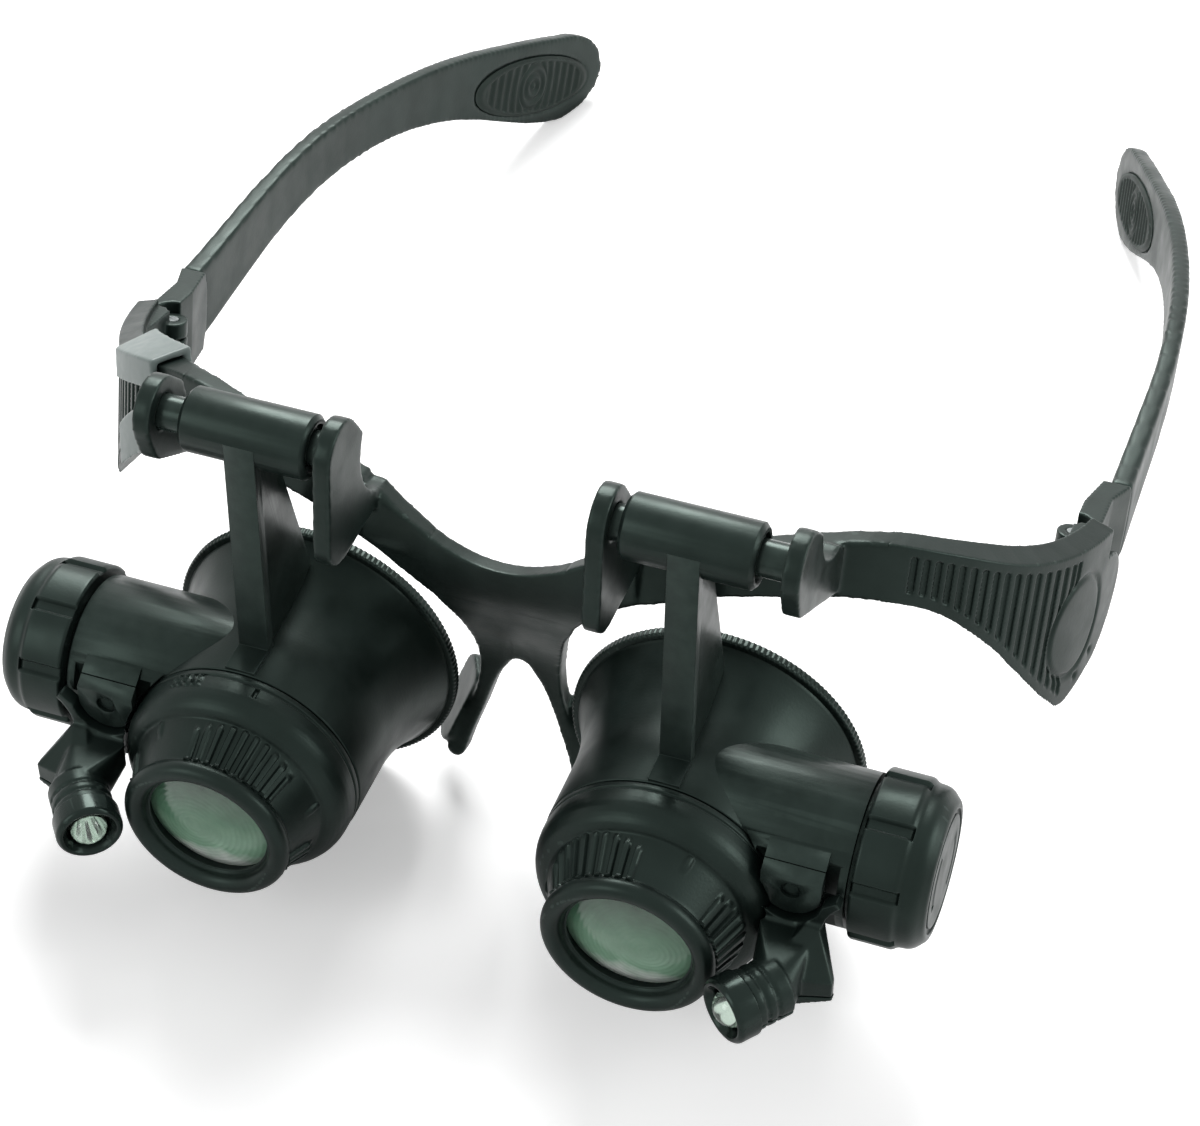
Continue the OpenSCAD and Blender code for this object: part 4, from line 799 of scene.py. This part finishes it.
# The dome: a rod with a round end, turned about the lamp's axis.
def makeLed(side, look=ledLook, columns=72):
    bow = np.radians(np.linspace(0, 90, 16))
    middle = look["tip"] - look["radius"]
    tip = np.stack([look["radius"] * np.cos(bow), middle + look["radius"] * np.sin(bow)], -1)
    foot = [[0, -look["length"]], [look["radius"] - look["foot"], -look["length"]],
            [look["radius"], -look["length"] + look["foot"]]]
    profile = np.vstack([foot, tip])
    addTurned("ledDome", "led", side, onLamp, profile[:, :1], profile[:, 1:], fullTurn(columns),
              wrapRows=False)


# The reflector cup inside the dome: a cone whose wall scallops a little, with a raised chip in its
# bottom.
def makeLedCup(side, look=cupLook, columns=96):
    profile = np.array([[0, look["floor"]], [look["chip"], look["floor"]],
                        [look["chip"] + look["chipSlope"], look["chipTop"]], look["cone"], look["edge"],
                        [look["radius"], look["lipTop"]],
                        [look["radius"], look["bottom"]], [0, look["bottom"]]])
    radius, angles = profile[:, :1], fullTurn(columns)
    onCone = (radius > look["scallopFrom"]) & (radius < look["scallopTo"])
    scallop = 1 + look["scallop"] * np.cos(look["scallops"] * angles) * onCone
    addTurned("ledCup", "led", side, onLamp, radius * scallop, profile[:, 1:], angles, finish="mirror",
              replace=False, wrapRows=False, sharp=30)


# The bezel: a ring with a rolled lip and a funnel towards the dome.
def makeBezel(side, look=bezelLook, columns=120):
    r, inner, back = look["radius"], ledLook["radius"] + look["clearance"], -look["depth"]
    # each row is a corner's radius, its place along the axis and its rounding
    corners = np.array([[r, back, 0.1], [r, -look["lip"], 0.35], [r - look["lip"], 0, 0.35],
                        [r - look["lipInner"], -look["lipDip"], 0.3], [inner, look["funnel"], 0.2],
                        [inner, back, 0.1]])
    profile = roundProfile(corners[:, :2], corners[:, 2], 6)
    addTurned("lampBezel", "lamp_bezel", side, onLamp, profile[:, :1], profile[:, 1:], fullTurn(columns))


for side in sides:
    makeLed(side)
    makeLedCup(side)
    makeBezel(side)
print("lamps made")


# Temple pads

padLook = {"ribs": 15, "ribDepth": 0.32, "fit": 0.995, "ovalHalf": 4.0, "ovalShare": 0.80, "ringWaves": 2.5,
           "pull": 1.1, "pullReach": 7, "thick": 1.1, "edgeDrop": 0.35, "sink": 0.02, "ribFit": 0.98,
           "ovalEdge": (0.98, 1.06), "borderEdge": (0.82, 0.88),
           "dropEdge": (0.9, 1.0)}  # mm, and shares of the pad's outline


# Where the pad lies on the temple's inner face: its middle, its long, upright and inward directions
# with the reach along each, and the temple's curve along it as a parabola.
def padPlace(side):
    points = readPoints(frame["nodes"]["temple_pad_" + side].data)
    middle = (points.min(0) + points.max(0)) / 2
    axes = np.linalg.svd(points - points.mean(0), full_matrices=False)[2]
    inwards = axes[2] * np.sign(axes[2] @ (np.array([0, middle[1], middle[2]]) - middle))
    long = axes[0] * np.sign(axes[0][1])
    upright = np.cross(inwards, long)
    local = (points - middle) @ np.stack([long, upright, inwards], 1)
    front = local[local[:, 2] > 0]
    return middle, (long, upright, inwards), np.abs(local).max(0), np.polyfit(front[:, 0], front[:, 2], 2)


# The grip pad is a shallow dome over an ellipse. The unit square is folded onto the ellipse, and the
# height adds upright ribs that bow round a middle oval, with two ring grooves in the oval.
def makePad(side, look=padLook, cells=150):
    middle, (long, upright, inwards), reach, bend = padPlace(side)
    u, v = np.meshgrid(np.linspace(-1, 1, cells * 2), np.linspace(-1, 1, cells // 2), indexing="ij")
    across, up = u * np.sqrt(1 - v * v / 2), v * np.sqrt(1 - u * u / 2)
    x, y = across * reach[0] * look["fit"], up * reach[1] * look["fit"]
    out = np.hypot(across, up)
    oval = np.hypot(x / look["ovalHalf"], y / (reach[1] * look["ovalShare"]))
    pull = look["pull"] * np.exp(-((x / look["pullReach"]) ** 2)) * np.sign(x) * (1 - (y / reach[1]) ** 2)
    ribs = 0.5 + 0.5 * np.cos(2 * np.pi * (x - pull) / (2 * reach[0] / look["ribs"] / look["ribFit"]))
    rings = 0.5 + 0.5 * np.cos(2 * np.pi * oval * look["ringWaves"])
    inOval = 1 - softStep(*look["ovalEdge"], oval)
    depth = look["ribDepth"] * (1 - softStep(*look["borderEdge"], out))
    relief = -depth * (1 - ribs) * (1 - inOval) - depth * (1 - rings) * inOval
    under = np.polyval(bend, x)
    height = under + relief - look["edgeDrop"] * softStep(*look["dropEdge"], out) - look["sink"]
    flat = middle + x[..., None] * long + y[..., None] * upright
    top = flat + height[..., None] * inwards
    foot = flat + (under - look["thick"])[..., None] * inwards
    ends = np.concatenate([top + foot, (top + foot)[:, ::-1]], 1) / 2  # the ends close on a line
    grid = np.concatenate([top, foot[:, ::-1]], 1)
    grid = np.concatenate([ends[:1], grid, ends[-1:]])
    piece = gridPiece("templePadRibbed_" + side, grid, wrapRows=False, sharp=50)
    finishPiece(piece, "temple_pad_" + side)


for side in sides:
    makePad(side)
print("temple pads made")


# Stage, light and camera

stageLook = {"floorHex": "#ffffff", "floorHalf": 6.0, "floorLift": 0.38, "farLift": 0.75, "liftFrom": 0.25,
             "liftTo": 0.9, "worldStrength": 0.32}  # lengths in m


# The floor is lifted towards white for the camera alone: a little near the object, where its shadow
# shows, and more further out.
def makeFloor(look=stageLook):
    corners = np.array([[-1, -1, 0], [1, -1, 0], [1, 1, 0], [-1, 1, 0]], float) * look["floorHalf"]
    mesh = bpy.data.meshes.new("floor")
    mesh.from_pydata(corners.tolist(), [], [(0, 1, 2, 3)])
    white = linearColor(look["floorHex"])
    material, tree, shader = startMaterial("paleFloor", Base_Color=white, Roughness=0.9,
                                           Specular_IOR_Level=0.0, Emission_Color=white)
    place = addNode(tree, "ShaderNodeTexCoord")
    away = addNode(tree, "ShaderNodeVectorMath", [(0, place.outputs["Object"])], operation="LENGTH")
    amount = addNode(tree, "ShaderNodeMapRange", [("Value", away.outputs["Value"])],
                     From_Min=look["liftFrom"], From_Max=look["liftTo"],
                     To_Min=look["floorLift"], To_Max=look["farLift"])
    seen = addNode(tree, "ShaderNodeLightPath").outputs["Is Camera Ray"]
    lift = addNode(tree, "ShaderNodeMath", [(0, seen), (1, amount.outputs["Result"])], operation="MULTIPLY")
    tree.links.new(lift.outputs[0], shader.inputs["Emission Strength"])
    floor = newPiece("floor", mesh)
    floor.data.materials.append(material)


# A white surround: full strength where the camera, a reflection or a lens sees it, and weaker as light.
def makeWorld(look=stageLook):
    world = bpy.data.worlds.new("studio")
    bpy.context.scene.world = world
    world.use_nodes = True
    tree = world.node_tree
    background = tree.nodes["Background"]
    rays = addNode(tree, "ShaderNodeLightPath").outputs
    seen = addNode(tree, "ShaderNodeMath", [(0, rays["Is Camera Ray"]), (1, rays["Is Glossy Ray"])],
                   operation="MAXIMUM")
    seenToo = addNode(tree, "ShaderNodeMath", [(0, seen.outputs[0]), (1, rays["Is Transmission Ray"])],
                      operation="MAXIMUM")
    strength = addNode(tree, "ShaderNodeMapRange", [("Value", seenToo.outputs[0])],
                       To_Min=look["worldStrength"], To_Max=1.0)
    tree.links.new(strength.outputs[0], background.inputs["Strength"])
    background.inputs["Color"].default_value = linearColor("#ffffff")


lightLook = {"overhead": {"at": (-0.22, 0.58, 0.66), "size": 0.45, "watts": 9.5},
             "front": {"at": (-0.55, -0.75, 0.55), "size": 0.5, "watts": 2.0},
             "edge": {"at": (0.75, 0.1, 0.4), "size": 0.4, "watts": 2.6}}  # lengths in m
lightAim = Vector((0, -0.02, 0.03))


def makeLight(name, look):
    data = bpy.data.lights.new(name, "AREA")
    data.size = look["size"]
    data.energy = look["watts"]
    light = bpy.data.objects.new(name, data)
    light.location = look["at"]
    light.rotation_euler = (lightAim - light.location).to_track_quat("-Z", "Y").to_euler()
    bpy.context.scene.collection.objects.link(light)


cameraLook = {"azimuth": 19.82, "elevation": 43.42, "distance": 501.4, "lens": 92.3, "sensor": 36,
              "aimX": -9.6, "aimY": -7.16, "clipStart": 0.01,
              "clipEnd": 50}  # degrees and mm, the clip range in m


def makeCamera(look=cameraLook):
    azimuth, elevation = math.radians(look["azimuth"]), math.radians(look["elevation"])
    back = Vector((math.sin(azimuth) * math.cos(elevation), -math.cos(azimuth) * math.cos(elevation),
                   math.sin(elevation)))
    right = Vector((math.cos(azimuth), math.sin(azimuth), 0))
    up = back.cross(right)
    data = bpy.data.cameras.new("camera")
    data.sensor_width = look["sensor"]
    data.lens = look["lens"]
    data.clip_start = look["clipStart"]
    data.clip_end = look["clipEnd"]
    camera = bpy.data.objects.new("camera", data)
    camera.location = (back * look["distance"] + right * look["aimX"] + up * look["aimY"]) * mm
    camera.rotation_mode = "QUATERNION"
    camera.rotation_quaternion = Matrix((right, up, back)).transposed().to_quaternion()
    bpy.context.scene.collection.objects.link(camera)
    bpy.context.scene.camera = camera


makeFloor()
makeWorld()
for lightName, light in lightLook.items():
    makeLight(lightName, light)
makeCamera()
bpy.context.scene.view_settings.view_transform = "Standard"
print("stage, light and camera set")
